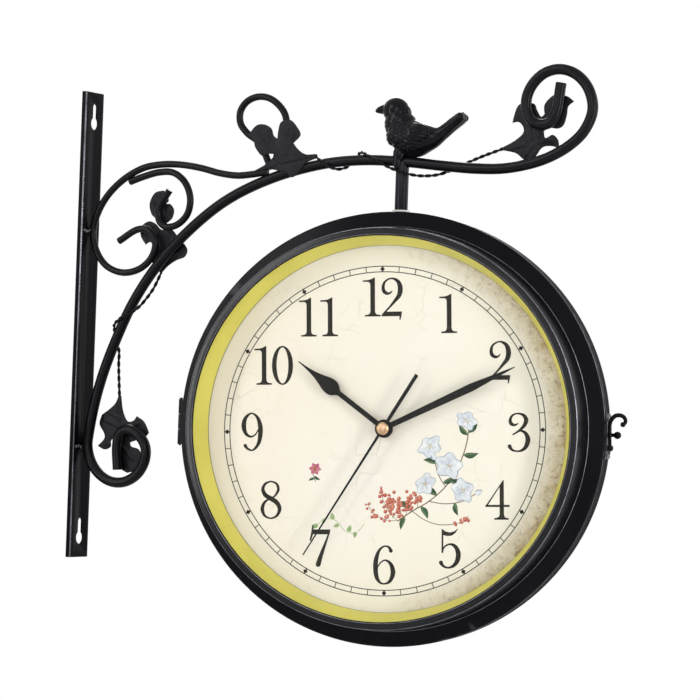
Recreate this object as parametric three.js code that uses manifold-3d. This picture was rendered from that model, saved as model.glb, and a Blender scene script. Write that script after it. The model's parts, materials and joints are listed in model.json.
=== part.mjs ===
// Double sided station clock on a wrought wall bracket.
// Millimetres, +Z up. The wall is the plane X = 0, the arm runs along +X, and the front dial looks to -Y.
// The origin is on the wall, behind the middle of the wall plate.
import * as THREE from 'three';
import { mergeVertices } from 'three/addons/utils/BufferGeometryUtils.js';
import Module from 'manifold-3d';

const wasm = await Module();
wasm.setup();

// ---------------------------------------------------------------- driving dimensions
const seat = 0.3; // gap between two pieces that bear on each other
const runningGap = 0.4; // radial gap round what turns

// Wall plate: a folded channel with two keyholes
const plateHeight = 404;
const plateWidth = 30;
const plateDepth = 4.5;
const plateSheet = 1.2;
const plateBend = 1.5;
const keyholeBulbRadius = 5.5;
const keyholeSlotWidth = 6;
const keyholeRise = 14; // from the bulb's centre to the slot's end centre
const topKeyholeZ = 175;
const bottomKeyholeZ = -185;

// Bracket rods
const mainRodRadius = 4.5;
const thinRodRadius = 3;
const vineRadius = 1.3;
const rodSides = 8;
const thinRodSides = 8;
const vineSides = 6;
const rightVineSteps = 62;
const leftVineSteps = 34;
const armSteps = 78;
const scrollSteps = 42;
const loopSteps = 26;
const bendSpacing = 30; // millimetres of straight rod that count as much as one radian of bend

// Leaves, stamped from sheet with pressed veins
const leafSheet = 1.5;
const veinWidth = 2.2;
const veinHeight = 0.8;

// Hanger
const hangerReach = 304; // wall to the hanger's axis
const hangerDrop = 42.5; // arm's middle line to the top of the case
const tubeRadius = 5.5;
const boltRadius = 3;
const boltThreadDepth = 24;
const hangerWasherRadius = 7.3;
const hangerWasherThickness = 1.6;
const innerWasherRadius = 4.9;
const innerWasherThickness = 1.2;
const boltHeadAcrossFlats = 8.2;
const boltHeadHeight = 4;

// Case
const caseSwivelDegrees = 13; // how far the case stands turned on its hanger
const bandRadius = 180;
const bandHalfWidth = 13;
const bandEdge = 1; // chamfer along the band
const stepHeight = 10; // from the barrel up to the band
const stepSlope = 4.5; // the step from barrel to band leans by this much
const barrelNarrowing = 2; // from the step to the lip
const caseHalfDepth = 55;
const lipWidth = 9;
const lipRound = 1.8;
const caseWall = 2;
const seamOffset = 5.5; // the door's seam lies this far in front of the case's middle
const caseSegments = 52;

// Dial side, the same on both faces
const glassThickness = 2;
const dialDepth = 30; // middle of the case to the dial's face
const dialThickness = 1.2;
const linerCove = 6; // the liner narrows by this much from the lip to the dial
const linerSetback = 1.2; // the liner's mouth stands back from the lip's edge
const linerWall = 1.6;
const retainerWidth = 9;
const retainerThickness = 3.5;

// Movement
const movementWidth = 56;
const movementThickness = 16.5;
const movementCorner = 5;
const batteryRadius = 7.1;
const batteryLength = 49;
const batteryDrop = 16; // below the hand shaft
const batteryNubRadius = 2.7;
const batteryNubHeight = 1.4;
const batteryRoom = 3; // spare length of the battery bay
const bushRadius = 4;
const bushLength = 4.4;
const boreDepth = 4; // of the hand bore inside the movement
const bushNutAcrossFlats = 12;
const bushNutThickness = 2;
const hourPipeRadius = 2.6;
const minutePipeRadius = 1.7;
const secondArborRadius = 0.7;
const knobRadius = 6;
const knobHeight = 4;
const knobNotches = 10;
const knobNotchRadius = 0.9;

// Hands
const handThickness = 0.8;
const handSpacing = 2; // from one hand to the next
const hourHandLength = 92;
const minuteHandLength = 121;
const secondHandLength = 124;
const secondTailLength = 52.5;
const hourShaftWidth = 4.2;
const hourSpadeWidth = 13.2;
const minuteRootWidth = 4.2;
const minuteLanceWidth = 6.6;
const secondRootWidth = 2.2;
const secondTipWidth = 1;
const secondTailWidth = 3;
const pipeProud = 0.5; // pipes stand out of their hands by this much
const hourHubRadius = 7.6;
const minuteHubRadius = 6.4;
const hubCapRadius = 5.2;
const hubCapHeight = 2.4;
const hourAngle = 305.5;
const minuteAngle = 63.5;
const secondAngle = 211;

// Hinge and latch on the band
const fittingHeight = 38;
const fittingSheet = 1.2;
const fittingCorner = 3;
const fittingWaist = 7; // half height of the waist in a plate's outer edge
const fittingFrontInset = 0.8;
const fittingRearInset = 1.5;
const latchSeamGap = 0.6; // latch plates stop short of the seam
const hingeStandoff = 0.2; // what the knuckles clear the band by, besides the seat
const hingeWebStandoff = 0.35;
const hingePinRadius = 1;
const hingePinHeadRadius = 1.7;
const pinHeadHeight = 1;
const hingeKnuckleRadius = 2.1;
const latchPivotRadius = 1.3;
const latchPivotHeadRadius = 2.2;
const latchEyeRadius = 2.7;
const latchPivotZ = -9.5;
const studNeckRadius = 1.6;
const studNeckLength = 3.4;
const studKnobRadius = 3.1;
const studZ = 1.2;
const studInset = 6; // from the plate's rear edge
const hookWireRadius = 1.4;
const hookStandoff = 0.5;
const thumbRadius = 1.7; // of the curl that a thumb lifts the hook by
const thumbEndRadius = 2.2;
const thumbCurl = 9.4; // the curl stands this far past the stud and out from the case
const hookRaisedDegrees = 59; // how far the hook stands lifted off its stud

// ---------------------------------------------------------------- case radii, from the band inwards
const barrelRadius = bandRadius - stepHeight;
const lipOuterRadius = barrelRadius - barrelNarrowing;
const lipInnerRadius = lipOuterRadius - lipWidth;
const dialVisibleRadius = lipInnerRadius - linerCove;

// ---------------------------------------------------------------- helpers
const finishes = {
  blackCoat: { color: 0x1b1b20, roughness: 0.32, metalness: 0.35 },
  yellowPlastic: { color: 0xdad15a, roughness: 0.45, metalness: 0 },
  glass: { color: 0xf2f6f6, roughness: 0.04, metalness: 0, transparent: true, opacity: 0.15 },
  dialPaper: { color: 0xf8f3e4, roughness: 0.75, metalness: 0 },
  blackPlastic: { color: 0x141416, roughness: 0.55, metalness: 0 },
  brass: { color: 0xb88a4a, roughness: 0.3, metalness: 1 },
  steel: { color: 0x9a9ca0, roughness: 0.35, metalness: 1 },
  whitePlastic: { color: 0xe4e4e2, roughness: 0.5, metalness: 0 },
  handBlack: { color: 0x0e0e10, roughness: 0.45, metalness: 0.2 },
  batteryJacket: { color: 0x3c4650, roughness: 0.4, metalness: 0.3 },
};

const radians = THREE.MathUtils.degToRad;
const vector = (x, y, z) => new THREE.Vector3(x, y, z);
const origin = vector(0, 0, 0);
const axisX = vector(1, 0, 0);
const axisY = vector(0, 1, 0);
const axisZ = vector(0, 0, 1);

// A closed three.js geometry as a solid that can be joined and cut
function solidOf(geometry) {
  const bare = geometry.clone();
  bare.deleteAttribute('normal');
  bare.deleteAttribute('uv');
  const merged = mergeVertices(bare, 1e-4);
  const index = merged.index.array;
  const corners = [];
  for (let i = 0; i < index.length; i += 3) {
    const [a, b, c] = [index[i], index[i + 1], index[i + 2]];
    if (a !== b && b !== c && c !== a) corners.push(a, b, c);
  }
  const place = merged.attributes.position;
  let volume = 0;
  const [p, q, r] = [vector(), vector(), vector()];
  for (let i = 0; i < corners.length; i += 3) {
    p.fromBufferAttribute(place, corners[i]);
    q.fromBufferAttribute(place, corners[i + 1]);
    r.fromBufferAttribute(place, corners[i + 2]);
    volume += p.dot(q.cross(r));
  }
  if (volume < 0) corners.reverse();
  return new wasm.Manifold(new wasm.Mesh({
    numProp: 3,
    vertProperties: new Float32Array(place.array),
    triVerts: new Uint32Array(corners),
  }));
}

function geometryOf(solid) {
  const mesh = solid.getMesh();
  const geometry = new THREE.BufferGeometry();
  geometry.setAttribute('position', new THREE.BufferAttribute(mesh.vertProperties.slice(), 3));
  geometry.setIndex(new THREE.BufferAttribute(mesh.triVerts.slice(), 1));
  geometry.computeVertexNormals();
  return geometry;
}

// The biggest single body of a cut solid
function mainBody(solid) {
  const bodies = solid.decompose();
  return bodies.reduce((best, body) => (body.volume() > best.volume() ? body : best));
}

const joined = (solids) => solids.reduce((all, next) => all.add(next));

function addPiece(parent, name, solid, finish) {
  const mesh = new THREE.Mesh(geometryOf(mainBody(solid)), new THREE.MeshStandardMaterial(finishes[finish]));
  mesh.name = name;
  parent.add(mesh);
  return mesh;
}

// Shape drawn in X and Z, front face at the given Y, thickness towards the back
function uprightSheet(shape, thickness, frontY, curveSegments = 4) {
  const geometry = new THREE.ExtrudeGeometry(shape, { depth: thickness, bevelEnabled: false, curveSegments });
  geometry.applyMatrix4(new THREE.Matrix4().makeBasis(axisX, axisZ, axisY.clone().negate()));
  geometry.translate(0, frontY + thickness, 0);
  return solidOf(geometry);
}

// Shape drawn in Y and Z, extruded along +X from the given X
function sidewaysPrism(shape, length, startX, curveSegments = 6) {
  const geometry = new THREE.ExtrudeGeometry(shape, { depth: length, bevelEnabled: false, curveSegments });
  geometry.applyMatrix4(new THREE.Matrix4().makeBasis(axisY, axisZ, axisX));
  geometry.translate(startX, 0, 0);
  return solidOf(geometry);
}

// Closed profile of [radius, y] points turned about Y
function turned(profile, segments = caseSegments) {
  const points = profile.map(([radius, y]) => new THREE.Vector2(radius, y));
  if (points[0].x > 0 || points[points.length - 1].x > 0) points.push(points[0].clone());
  return solidOf(new THREE.LatheGeometry(points, segments));
}

// Cylinder between two heights along one axis through the point
function rod(radius, from, to, axis = 'z', at = origin, segments = 16) {
  const geometry = new THREE.CylinderGeometry(radius, radius, to - from, segments);
  geometry.translate(0, (from + to) / 2, 0);
  if (axis === 'z') geometry.rotateX(Math.PI / 2);
  if (axis === 'x') geometry.rotateZ(-Math.PI / 2);
  geometry.translate(at.x, at.y, at.z);
  return solidOf(geometry);
}

function box(sizeX, sizeY, sizeZ, centre) {
  const geometry = new THREE.BoxGeometry(sizeX, sizeY, sizeZ);
  geometry.translate(centre.x, centre.y, centre.z);
  return solidOf(geometry);
}

function circleShape(radius) {
  const shape = new THREE.Shape();
  shape.absarc(0, 0, radius, 0, Math.PI * 2);
  return shape;
}

// A smooth curve whose sections lie closer where it bends tighter
class BentCurve extends THREE.CatmullRomCurve3 {
  constructor(points) {
    super(points, false, 'centripetal');
    const samples = 400;
    this.costs = [0];
    let lastPoint = this.getPoint(0);
    let lastTangent = this.getTangent(0);
    for (let i = 1; i <= samples; i += 1) {
      const point = this.getPoint(i / samples);
      const tangent = this.getTangent(i / samples);
      const bend = tangent.angleTo(lastTangent);
      this.costs.push(this.costs[i - 1] + point.distanceTo(lastPoint) + bendSpacing * bend);
      lastPoint = point;
      lastTangent = tangent;
    }
  }

  getUtoTmapping(u) {
    if (!this.costs) return u;
    const last = this.costs.length - 1;
    const wanted = u * this.costs[last];
    let i = 0;
    while (i < last - 1 && this.costs[i + 1] < wanted) i += 1;
    const share = (wanted - this.costs[i]) / (this.costs[i + 1] - this.costs[i]);
    return (i + share) / last;
  }
}

const planeCurve = (points, y = 0) => new BentCurve(points.map(([x, z]) => vector(x, y, z)));

function bentRod(curve, radius, sides, steps) {
  const options = { steps, extrudePath: curve, bevelEnabled: false, curveSegments: sides / 2 };
  return solidOf(new THREE.ExtrudeGeometry(circleShape(radius), options));
}

// ---------------------------------------------------------------- wall plate
function keyholeShape(bulbZ) {
  const half = keyholeSlotWidth / 2;
  const neck = Math.sqrt(keyholeBulbRadius ** 2 - half ** 2);
  const neckAngle = Math.atan2(neck, half);
  const shape = new THREE.Shape();
  shape.absarc(0, bulbZ, keyholeBulbRadius, Math.PI - neckAngle, neckAngle, false);
  shape.absarc(0, bulbZ + keyholeRise, half, 0, Math.PI, false);
  shape.closePath();
  return shape;
}

function wallPlateSolid() {
  const half = plateWidth / 2;
  const inner = half - plateSheet;
  const profile = new THREE.Shape();
  profile.moveTo(0, -half);
  profile.lineTo(plateDepth - plateBend, -half);
  profile.quadraticCurveTo(plateDepth, -half, plateDepth, -half + plateBend);
  profile.lineTo(plateDepth, half - plateBend);
  profile.quadraticCurveTo(plateDepth, half, plateDepth - plateBend, half);
  profile.lineTo(0, half);
  profile.lineTo(0, inner);
  profile.lineTo(plateDepth - plateSheet, inner);
  profile.lineTo(plateDepth - plateSheet, -inner);
  profile.lineTo(0, -inner);
  profile.closePath();
  const options = { depth: plateHeight, bevelEnabled: false, curveSegments: 3 };
  const channel = new THREE.ExtrudeGeometry(profile, options);
  channel.translate(0, 0, -plateHeight / 2);
  const cutters = [topKeyholeZ, bottomKeyholeZ].map((z) => sidewaysPrism(keyholeShape(z), plateDepth * 2, 0));
  return solidOf(channel).subtract(joined(cutters));
}

// ---------------------------------------------------------------- bracket rods
const mainWeldX = plateDepth + seat + mainRodRadius;
const thinWeldX = plateDepth + seat + thinRodRadius;

// Lower curl, weld on the plate, long arch, upper curl and its straight inner end
const armCurve = planeCurve([
  [40.5, -125], [39, -104], [41.5, -93.5], [49.5, -90], [60, -94.5], [67, -104], [67, -116], [60, -128],
  [48, -135], [35, -135.5], [23, -130], [14, -120], [mainWeldX, -106], [mainWeldX + 1.2, -92],
  [mainWeldX + 6, -67], [22.5, -42], [33.5, -14], [50, 20], [72.5, 52], [101, 81], [137.5, 108],
  [180.5, 127], [228.5, 139], [266, 142.3], [304, 141], [340, 137.5], [372, 135], [400, 135.5],
  [430.5, 142], [453, 153], [467, 166], [473.5, 183], [469, 200], [458, 211.5], [444.5, 216], [431, 213.5],
  [420.5, 205], [415, 194], [415, 183], [419.5, 174.5], [427, 171], [435, 172], [440.5, 178], [445, 205],
]);
const armArchStart = 12 / 43; // where the arch leaves the plate, as a share of the curve's points
const armArchEnd = 31 / 43;

// Point of the arch at a distance from the wall, with its upward normal
function armAt(x) {
  let low = armArchStart;
  let high = armArchEnd;
  for (let i = 0; i < 30; i += 1) {
    const middle = (low + high) / 2;
    if (armCurve.getPoint(middle).x < x) low = middle;
    else high = middle;
  }
  const tangent = armCurve.getTangent(low);
  return { point: armCurve.getPoint(low), up: vector(-tangent.z, 0, tangent.x) };
}

// Point beside the arm: turn 0 is above it, 90 in front of it, 180 below and 270 behind
function besideArm(x, turn, distance) {
  const { point, up } = armAt(x);
  const offset = up.multiplyScalar(Math.cos(radians(turn))).addScaledVector(axisY, -Math.sin(radians(turn)));
  return point.add(offset.multiplyScalar(distance));
}

const arm = bentRod(armCurve, mainRodRadius, rodSides, armSteps);
const armWithSeat = bentRod(armCurve, mainRodRadius + seat, rodSides, armSteps);

// The thin rods lie flush with the front of the main rod
const thinRodY = thinRodRadius - mainRodRadius;
const upperScrollCurve = planeCurve([
  [178, 132.5], [163, 130.5], [149, 129.5], [132, 131.5], [113, 136], [92, 139], [73, 139], [56, 136],
  [38, 127], [22, 113], [12, 97], [thinWeldX, 81], [12, 64], [23, 51], [40, 45.5], [57, 49.5], [68, 60],
  [70.5, 72], [64, 82], [53, 83], [34, 72.5],
], thinRodY);
const innerSpiralCurve = planeCurve([
  [43, 124], [57, 128.7], [72, 132.3], [86, 132], [97.5, 124], [103.5, 110], [101, 96], [91, 87], [80, 85.5],
  [73.5, 91], [73, 101], [83, 117],
], thinRodY);
const topLoopCurve = planeCurve([
  [181, 135], [169, 157], [157, 165.5], [150, 174], [149.5, 184], [155, 192], [165, 196.3], [176, 195.5],
  [186, 189.5], [193, 180], [194, 166], [187, 150], [184, 135],
], thinRodY);

const upperScroll = bentRod(upperScrollCurve, thinRodRadius, thinRodSides, scrollSteps).subtract(armWithSeat);
const upperScrollWithSeat = bentRod(upperScrollCurve, thinRodRadius + seat, thinRodSides, scrollSteps);
const innerSpiral = bentRod(innerSpiralCurve, thinRodRadius, thinRodSides, loopSteps)
  .subtract(armWithSeat)
  .subtract(upperScrollWithSeat);
const innerSpiralWithSeat = bentRod(innerSpiralCurve, thinRodRadius + seat, thinRodSides, loopSteps);
const topLoop = bentRod(topLoopCurve, thinRodRadius, thinRodSides, loopSteps)
  .subtract(armWithSeat)
  .subtract(upperScrollWithSeat);
const topLoopWithSeat = bentRod(topLoopCurve, thinRodRadius + seat, thinRodSides, loopSteps);

// ---------------------------------------------------------------- leaves
// An outline of smooth runs that meet in points
function leafShape(runs) {
  const shape = new THREE.Shape();
  const first = runs[0][0];
  shape.moveTo(first[0], first[1]);
  runs.forEach((run, i) => {
    const points = i === 0 ? run.slice(1) : run;
    shape.splineThru(points.map(([x, z]) => new THREE.Vector2(x, z)));
  });
  return shape;
}

// A pressed vein between two points, standing out of the leaf's front
function vein([x0, z0], [x1, z1], frontY) {
  const length = Math.hypot(x1 - x0, z1 - z0);
  const half = veinWidth / 2;
  const shape = new THREE.Shape();
  shape.moveTo(0, -half);
  shape.lineTo(length, -half * 0.6);
  shape.lineTo(length, half * 0.6);
  shape.lineTo(0, half);
  shape.closePath();
  const geometry = new THREE.ExtrudeGeometry(shape, { depth: veinHeight * 2, bevelEnabled: false });
  geometry.rotateZ(Math.atan2(z1 - z0, x1 - x0));
  geometry.translate(x0, z0, 0);
  geometry.applyMatrix4(new THREE.Matrix4().makeBasis(axisX, axisZ, axisY.clone().negate()));
  geometry.translate(0, frontY + veinHeight, 0);
  return solidOf(geometry);
}

function leafSolid(runs, veins, frontY) {
  const blade = uprightSheet(leafShape(runs), leafSheet, frontY, 1);
  const veined = joined([blade, ...veins.map(([from, to]) => vein(from, to, frontY))]);
  return veined.subtract(armWithSeat).subtract(innerSpiralWithSeat).subtract(upperScrollWithSeat);
}

const leafInFrontY = -(mainRodRadius + seat + leafSheet);
const leafBehindY = mainRodRadius + seat;
const leafBehindThinY = thinRodY + thinRodRadius + seat;

const loopLeaf = leafSolid([
  [[159.5, 163], [165, 159], [167, 153], [173.5, 146], [180, 147.5], [186.5, 147]],
  [[178, 139], [163, 131.5]],
  [[180, 134.5], [197.5, 131.5]],
  [[203.5, 127.5], [209.5, 132], [216, 139.5], [226, 143.5]],
  [[226, 147], [215.5, 147], [208.5, 151], [203.5, 156.5]],
  [[210, 163], [207, 169.5], [200, 176], [191, 174.5], [188.5, 167], [188, 160.5]],
  [[184.5, 163], [182, 169], [175, 172.5], [167, 171.5], [159.5, 163]],
], [
  [[193, 140], [198, 168]], [[190, 141], [172, 165]], [[186, 138], [170, 134]], [[196, 141], [220, 145.5]],
  [[197, 147], [204, 165]], [[188, 147], [178, 167]],
], leafInFrontY);

const scrollLeaf = leafSolid([
  [[392, 153], [402, 158], [409.5, 164], [410, 169], [406, 173.5], [400, 173]],
  [[401.5, 180], [404.5, 187], [410, 189.5], [419, 188.5], [422, 183], [425.5, 178], [428.5, 180]],
  [[428, 187], [432, 192.5], [438, 196], [448, 194.5], [454.5, 190]],
  [[449.5, 186], [448.5, 179], [446, 171], [441, 168], [434, 168.5], [428.5, 166]],
  [[430, 160.5], [436.5, 163], [441.5, 158.5], [442.5, 151.5]],
  [[437, 153.5], [430, 153.5], [426, 151], [422.5, 146], [418, 142], [411, 143], [404, 148], [392, 150.5]],
], [
  [[414, 158], [404, 178]], [[418, 160], [413, 184]], [[424, 162], [441, 189]], [[412, 155], [398, 151.5]],
  [[420, 155], [413, 146]], [[424, 157], [438, 157]],
], leafBehindY);

const upperLeaf = leafSolid([
  [[75, 117], [66, 115], [61, 106], [63, 97], [68, 92.5], [76, 88], [79, 89]],
  [[84, 93], [85.5, 100], [82, 105], [77.5, 105.5]],
  [[80, 109], [75, 117]],
], [
  [[75, 92], [66, 108]], [[77, 94], [83, 99]], [[75, 96], [73, 113]],
], leafBehindThinY);

const lowerLeaf = leafSolid([
  [[74, 46], [80, 52], [88, 57], [96, 60], [98.5, 66], [95, 71.5]],
  [[90, 72], [87, 79], [81, 84], [72, 83.5], [66, 88.5], [59, 90.5], [52, 86], [51.5, 78], [57, 70]],
  [[61, 72.5], [65.5, 68.5], [62.5, 61], [65, 53], [72, 46.5]],
], [
  [[72, 56], [57, 82]], [[75, 58], [80, 79]], [[77, 57], [93, 66]], [[70, 62], [66, 82]],
], leafBehindY);

const bottomLeaf = leafSolid([
  [[35, -61], [31, -69], [19, -78]],
  [[17, -86], [22, -94], [22, -99], [16, -105]],
  [[23, -108], [29, -105.5], [29.5, -100], [33, -98]],
  [[34, -104], [32, -112], [35, -118], [39.5, -124], [46.5, -127.5]],
  [[56, -124], [61, -112]],
  [[57, -106.5], [50, -104.5], [48.5, -101]],
  [[55, -99], [62, -97.5], [67, -92]],
  [[62, -83], [54, -78]],
  [[51, -82], [45, -82.5], [40, -73], [38, -61]],
], [
  [[36, -66], [38, -96]], [[38, -88], [22, -82]], [[38, -96], [25, -104]], [[40, -90], [58, -84]],
  [[41, -104], [52, -116]], [[38, -80], [26, -76]],
], leafBehindY);

// ---------------------------------------------------------------- vine wires
const vineTrack = mainRodRadius + seat + vineRadius;
const vineLeafY = leafBehindY + leafSheet / 2;
const vineFrontLeafY = leafInFrontY + leafSheet / 2;
const vineEndGap = vineRadius + seat;

// From the loop leaf twice round the arm, under it past the hanger, and behind it to the scroll leaf
const rightVineCurve = new BentCurve([
  vector(226 + vineEndGap, vineFrontLeafY, 145.2),
  besideArm(234, 100, vineTrack + 0.5),
  besideArm(243, 170, vineTrack + 0.3),
  besideArm(250, 225, vineTrack + 0.1),
  besideArm(257, 290, vineTrack + 0.1),
  besideArm(264, 350, vineTrack + 0.6),
  besideArm(272, 405, vineTrack + 0.1),
  besideArm(281, 450, vineTrack + 0.1),
  besideArm(290, 490, vineTrack + 0.3),
  vector(hangerReach, -(tubeRadius + vineRadius + seat * 2), 132.5),
  vector(hangerReach + 16, -4, 129),
  vector(hangerReach + 30, 3, 130),
  besideArm(346, 250, vineTrack + 1.5),
  besideArm(358, 300, vineTrack + 1.5),
  vector(374, vineLeafY, 145.5),
  vector(392 - vineEndGap, vineLeafY, 151.6),
]);

// From the lower leaf's tip round the arm to the bottom leaf's stem
const leftVineCurve = new BentCurve([
  vector(73.2, vineLeafY, 46 - vineEndGap),
  vector(66, vineLeafY - 1, 31),
  vector(58, -2, 17),
  besideArm(47, 150, vineTrack + 0.4),
  besideArm(43, 90, vineTrack + 0.2),
  besideArm(39, 30, vineTrack + 0.4),
  besideArm(36.5, -20, vineTrack + 0.6),
  besideArm(33, -75, vineTrack + 0.3),
  besideArm(30.5, -130, vineTrack + 0.6),
  vector(35.5, vineLeafY - 2, -34),
  vector(36.5, vineLeafY, -61 + vineEndGap),
]);
const vineWithSeat = bentRod(rightVineCurve, vineRadius + seat, vineSides, rightVineSteps);
const rightVine = bentRod(rightVineCurve, vineRadius, vineSides, rightVineSteps).subtract(armWithSeat);
const leftVine = bentRod(leftVineCurve, vineRadius, vineSides, leftVineSteps).subtract(armWithSeat);

// ---------------------------------------------------------------- bird
// Skin over upright oval rings: [x, bottom z, top z, half width]
function birdBody(rings, sides) {
  const places = [];
  const corners = [];
  rings.forEach(([x, bottom, top, halfWidth]) => {
    for (let i = 0; i < sides; i += 1) {
      const turn = (i / sides) * Math.PI * 2;
      const z = (top + bottom) / 2 + ((top - bottom) / 2) * Math.cos(turn);
      places.push(x, halfWidth * Math.sin(turn), z);
    }
  });
  for (let ring = 0; ring < rings.length - 1; ring += 1) {
    for (let i = 0; i < sides; i += 1) {
      const a = ring * sides + i;
      const b = ring * sides + ((i + 1) % sides);
      corners.push(a, b, b + sides, a, b + sides, a + sides);
    }
  }
  [0, rings.length - 1].forEach((ring) => {
    const [x, bottom, top] = rings[ring];
    const middle = places.length / 3;
    places.push(x, 0, (top + bottom) / 2);
    for (let i = 0; i < sides; i += 1) {
      const a = ring * sides + i;
      const b = ring * sides + ((i + 1) % sides);
      if (ring === 0) corners.push(middle, b, a);
      else corners.push(middle, a, b);
    }
  });
  const geometry = new THREE.BufferGeometry();
  geometry.setAttribute('position', new THREE.BufferAttribute(new Float32Array(places), 3));
  geometry.setIndex(corners);
  return solidOf(geometry);
}

function ellipsoid(centre, radii, pitch, widthSegments = 12, heightSegments = 8) {
  const geometry = new THREE.SphereGeometry(1, widthSegments, heightSegments);
  geometry.scale(radii.x, radii.y, radii.z);
  geometry.rotateY(pitch);
  geometry.translate(centre.x, centre.y, centre.z);
  return solidOf(geometry);
}

const ball = (centre, radius, widthSegments, heightSegments) =>
  ellipsoid(centre, vector(radius, radius, radius), 0, widthSegments, heightSegments);

function birdSolid() {
  const body = birdBody([
    [287.5, 165, 174, 3.5], [290, 158, 178, 7.5], [295, 151.5, 181, 11], [302, 147, 180, 13],
    [311, 144.5, 177, 13.5], [320, 145, 173.5, 12.5], [328, 149, 171, 10.5], [335, 153, 169.5, 8],
    [342, 159, 173, 7], [350, 166, 178.5, 7.5], [357, 171.5, 182, 8], [360.5, 175, 179, 7],
  ], 12);
  const head = ellipsoid(vector(296.2, 0, 183.6), vector(11.6, 9.4, 11.2), 0);
  const beak = new THREE.ConeGeometry(3.4, 12, 8);
  beak.rotateZ(Math.PI / 2);
  beak.translate(283.2, 0, 184);
  const wings = [-1, 1].map((side) => ellipsoid(vector(310, side * 10.5, 163), vector(22, 4.6, 10), -0.12));
  const legs = [-1, 1].map((side) => ellipsoid(vector(302.5, side * 5, 147), vector(5, 4, 7), 0, 8, 6));
  const footSize = vector(3.6, 2.4, 7.5);
  const feet = [-1, 1].map((side) => ellipsoid(vector(301.5, side * 6.2, 141), footSize, 0, 8, 6));
  const whole = joined([body, head, solidOf(beak), ...wings, ...legs, ...feet]);
  const tubeWithSeat = rod(tubeRadius + seat, tubeBottomZ, tubeTopZ, 'z', hangerAt);
  return whole.subtract(armWithSeat).subtract(vineWithSeat).subtract(tubeWithSeat);
}

// ---------------------------------------------------------------- hanger
const tubeTopZ = armAt(hangerReach).point.z;
const bandTopZ = tubeTopZ - hangerDrop;
const caseCentreZ = bandTopZ - bandRadius;
const washerBottomZ = bandTopZ + seat;
const tubeBottomZ = washerBottomZ + hangerWasherThickness + seat;
const bandInnerTopZ = bandTopZ - caseWall;
const headTopZ = bandInnerTopZ - seat - innerWasherThickness - seat;
const hangerAt = vector(hangerReach, 0, 0);

const hangerTube = rod(tubeRadius, tubeBottomZ, tubeTopZ, 'z', hangerAt)
  .subtract(armWithSeat)
  .subtract(rod(boltRadius + seat, tubeBottomZ - seat, tubeBottomZ + boltThreadDepth + seat, 'z', hangerAt));
const washerRing = (outer, bottom, top) => rod(outer, bottom, top, 'z', hangerAt, 28)
  .subtract(rod(boltRadius + seat, bottom - seat, top + seat, 'z', hangerAt));
const hangerWasher = washerRing(hangerWasherRadius, washerBottomZ, washerBottomZ + hangerWasherThickness);
const innerWasherTopZ = bandInnerTopZ - seat;
const innerWasher = washerRing(innerWasherRadius, innerWasherTopZ - innerWasherThickness, innerWasherTopZ);
const hexRadius = boltHeadAcrossFlats / Math.sqrt(3);
const hangerBolt = joined([
  rod(boltRadius, headTopZ - boltHeadHeight / 2, tubeBottomZ + boltThreadDepth, 'z', hangerAt),
  rod(hexRadius, headTopZ - boltHeadHeight, headTopZ, 'z', hangerAt, 6),
]);

// ---------------------------------------------------------------- case
// Inside radius of the barrel at a depth from the case's middle
const stepDepth = bandHalfWidth + stepSlope;
const barrelTaper = barrelNarrowing / (caseHalfDepth - lipRound - stepDepth);
const barrelInside = (depth) => barrelRadius - (depth - stepDepth) * barrelTaper - caseWall;

// Half of the case with its front at -Y, open behind, ending at edgeY
function shellSolid(edgeY) {
  const lipBack = caseHalfDepth - caseWall;
  return turned([
    [lipInnerRadius, -lipBack],
    [lipInnerRadius, -caseHalfDepth + lipRound / 2],
    [lipInnerRadius + lipRound / 2, -caseHalfDepth],
    [lipOuterRadius - lipRound, -caseHalfDepth],
    [lipOuterRadius - lipRound * 0.3, -caseHalfDepth + lipRound * 0.3],
    [lipOuterRadius, -caseHalfDepth + lipRound],
    [barrelRadius, -stepDepth],
    [bandRadius - bandEdge, -bandHalfWidth],
    [bandRadius, -bandHalfWidth + bandEdge],
    [bandRadius, edgeY],
    [bandRadius - caseWall, edgeY],
    [bandRadius - caseWall, -bandHalfWidth + caseWall],
    [barrelRadius - caseWall, -stepDepth + caseWall],
    [barrelInside(lipBack), -lipBack],
  ]);
}

// Thin plate that hugs the band: an outline in Y and Z, on the +X or -X side
function bandPlate(shape, side) {
  const inside = bandRadius + seat;
  const outside = inside + fittingSheet;
  const reach = outside + fittingSheet;
  const block = sidewaysPrism(shape, reach, side > 0 ? 0 : -reach);
  const reachY = bandHalfWidth * 2;
  const ring = turned([[inside, -reachY], [outside, -reachY], [outside, reachY], [inside, reachY]], 180);
  return block.intersect(ring);
}

// Scalloped plate outline between two Y edges
function scallopedShape(fromY, toY) {
  const half = fittingHeight / 2;
  const middleY = (fromY + toY) / 2;
  const shape = new THREE.Shape();
  shape.moveTo(fromY, fittingCorner - half);
  shape.quadraticCurveTo(fromY, -half, middleY, -half);
  shape.quadraticCurveTo(toY, -half, toY, fittingCorner - half);
  shape.lineTo(toY, -fittingWaist);
  shape.quadraticCurveTo(toY - (toY - fromY) * 0.12, 0, toY, fittingWaist);
  shape.lineTo(toY, half - fittingCorner);
  shape.quadraticCurveTo(toY, half, middleY, half);
  shape.quadraticCurveTo(fromY, half, fromY, half - fittingCorner);
  shape.closePath();
  return shape;
}

const seamY = -seamOffset;
const doorEdgeY = seamY - seat / 2;
const rearEdgeY = seamY + seat / 2;
const fittingFrontY = -bandHalfWidth + fittingFrontInset;
const fittingBackY = bandHalfWidth - fittingRearInset;

// Hinge on the -X side, its pin upright in front of the seam
const hingeX = -(bandRadius + hingeKnuckleRadius + seat + hingeStandoff);
const knuckleHeight = (fittingHeight - 2 * seat) / 3;
const hingePlace = vector(hingeX, seamY, 0);
const hingeBore = rod(hingePinRadius + runningGap / 2, -fittingHeight, fittingHeight, 'z', hingePlace);

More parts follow.
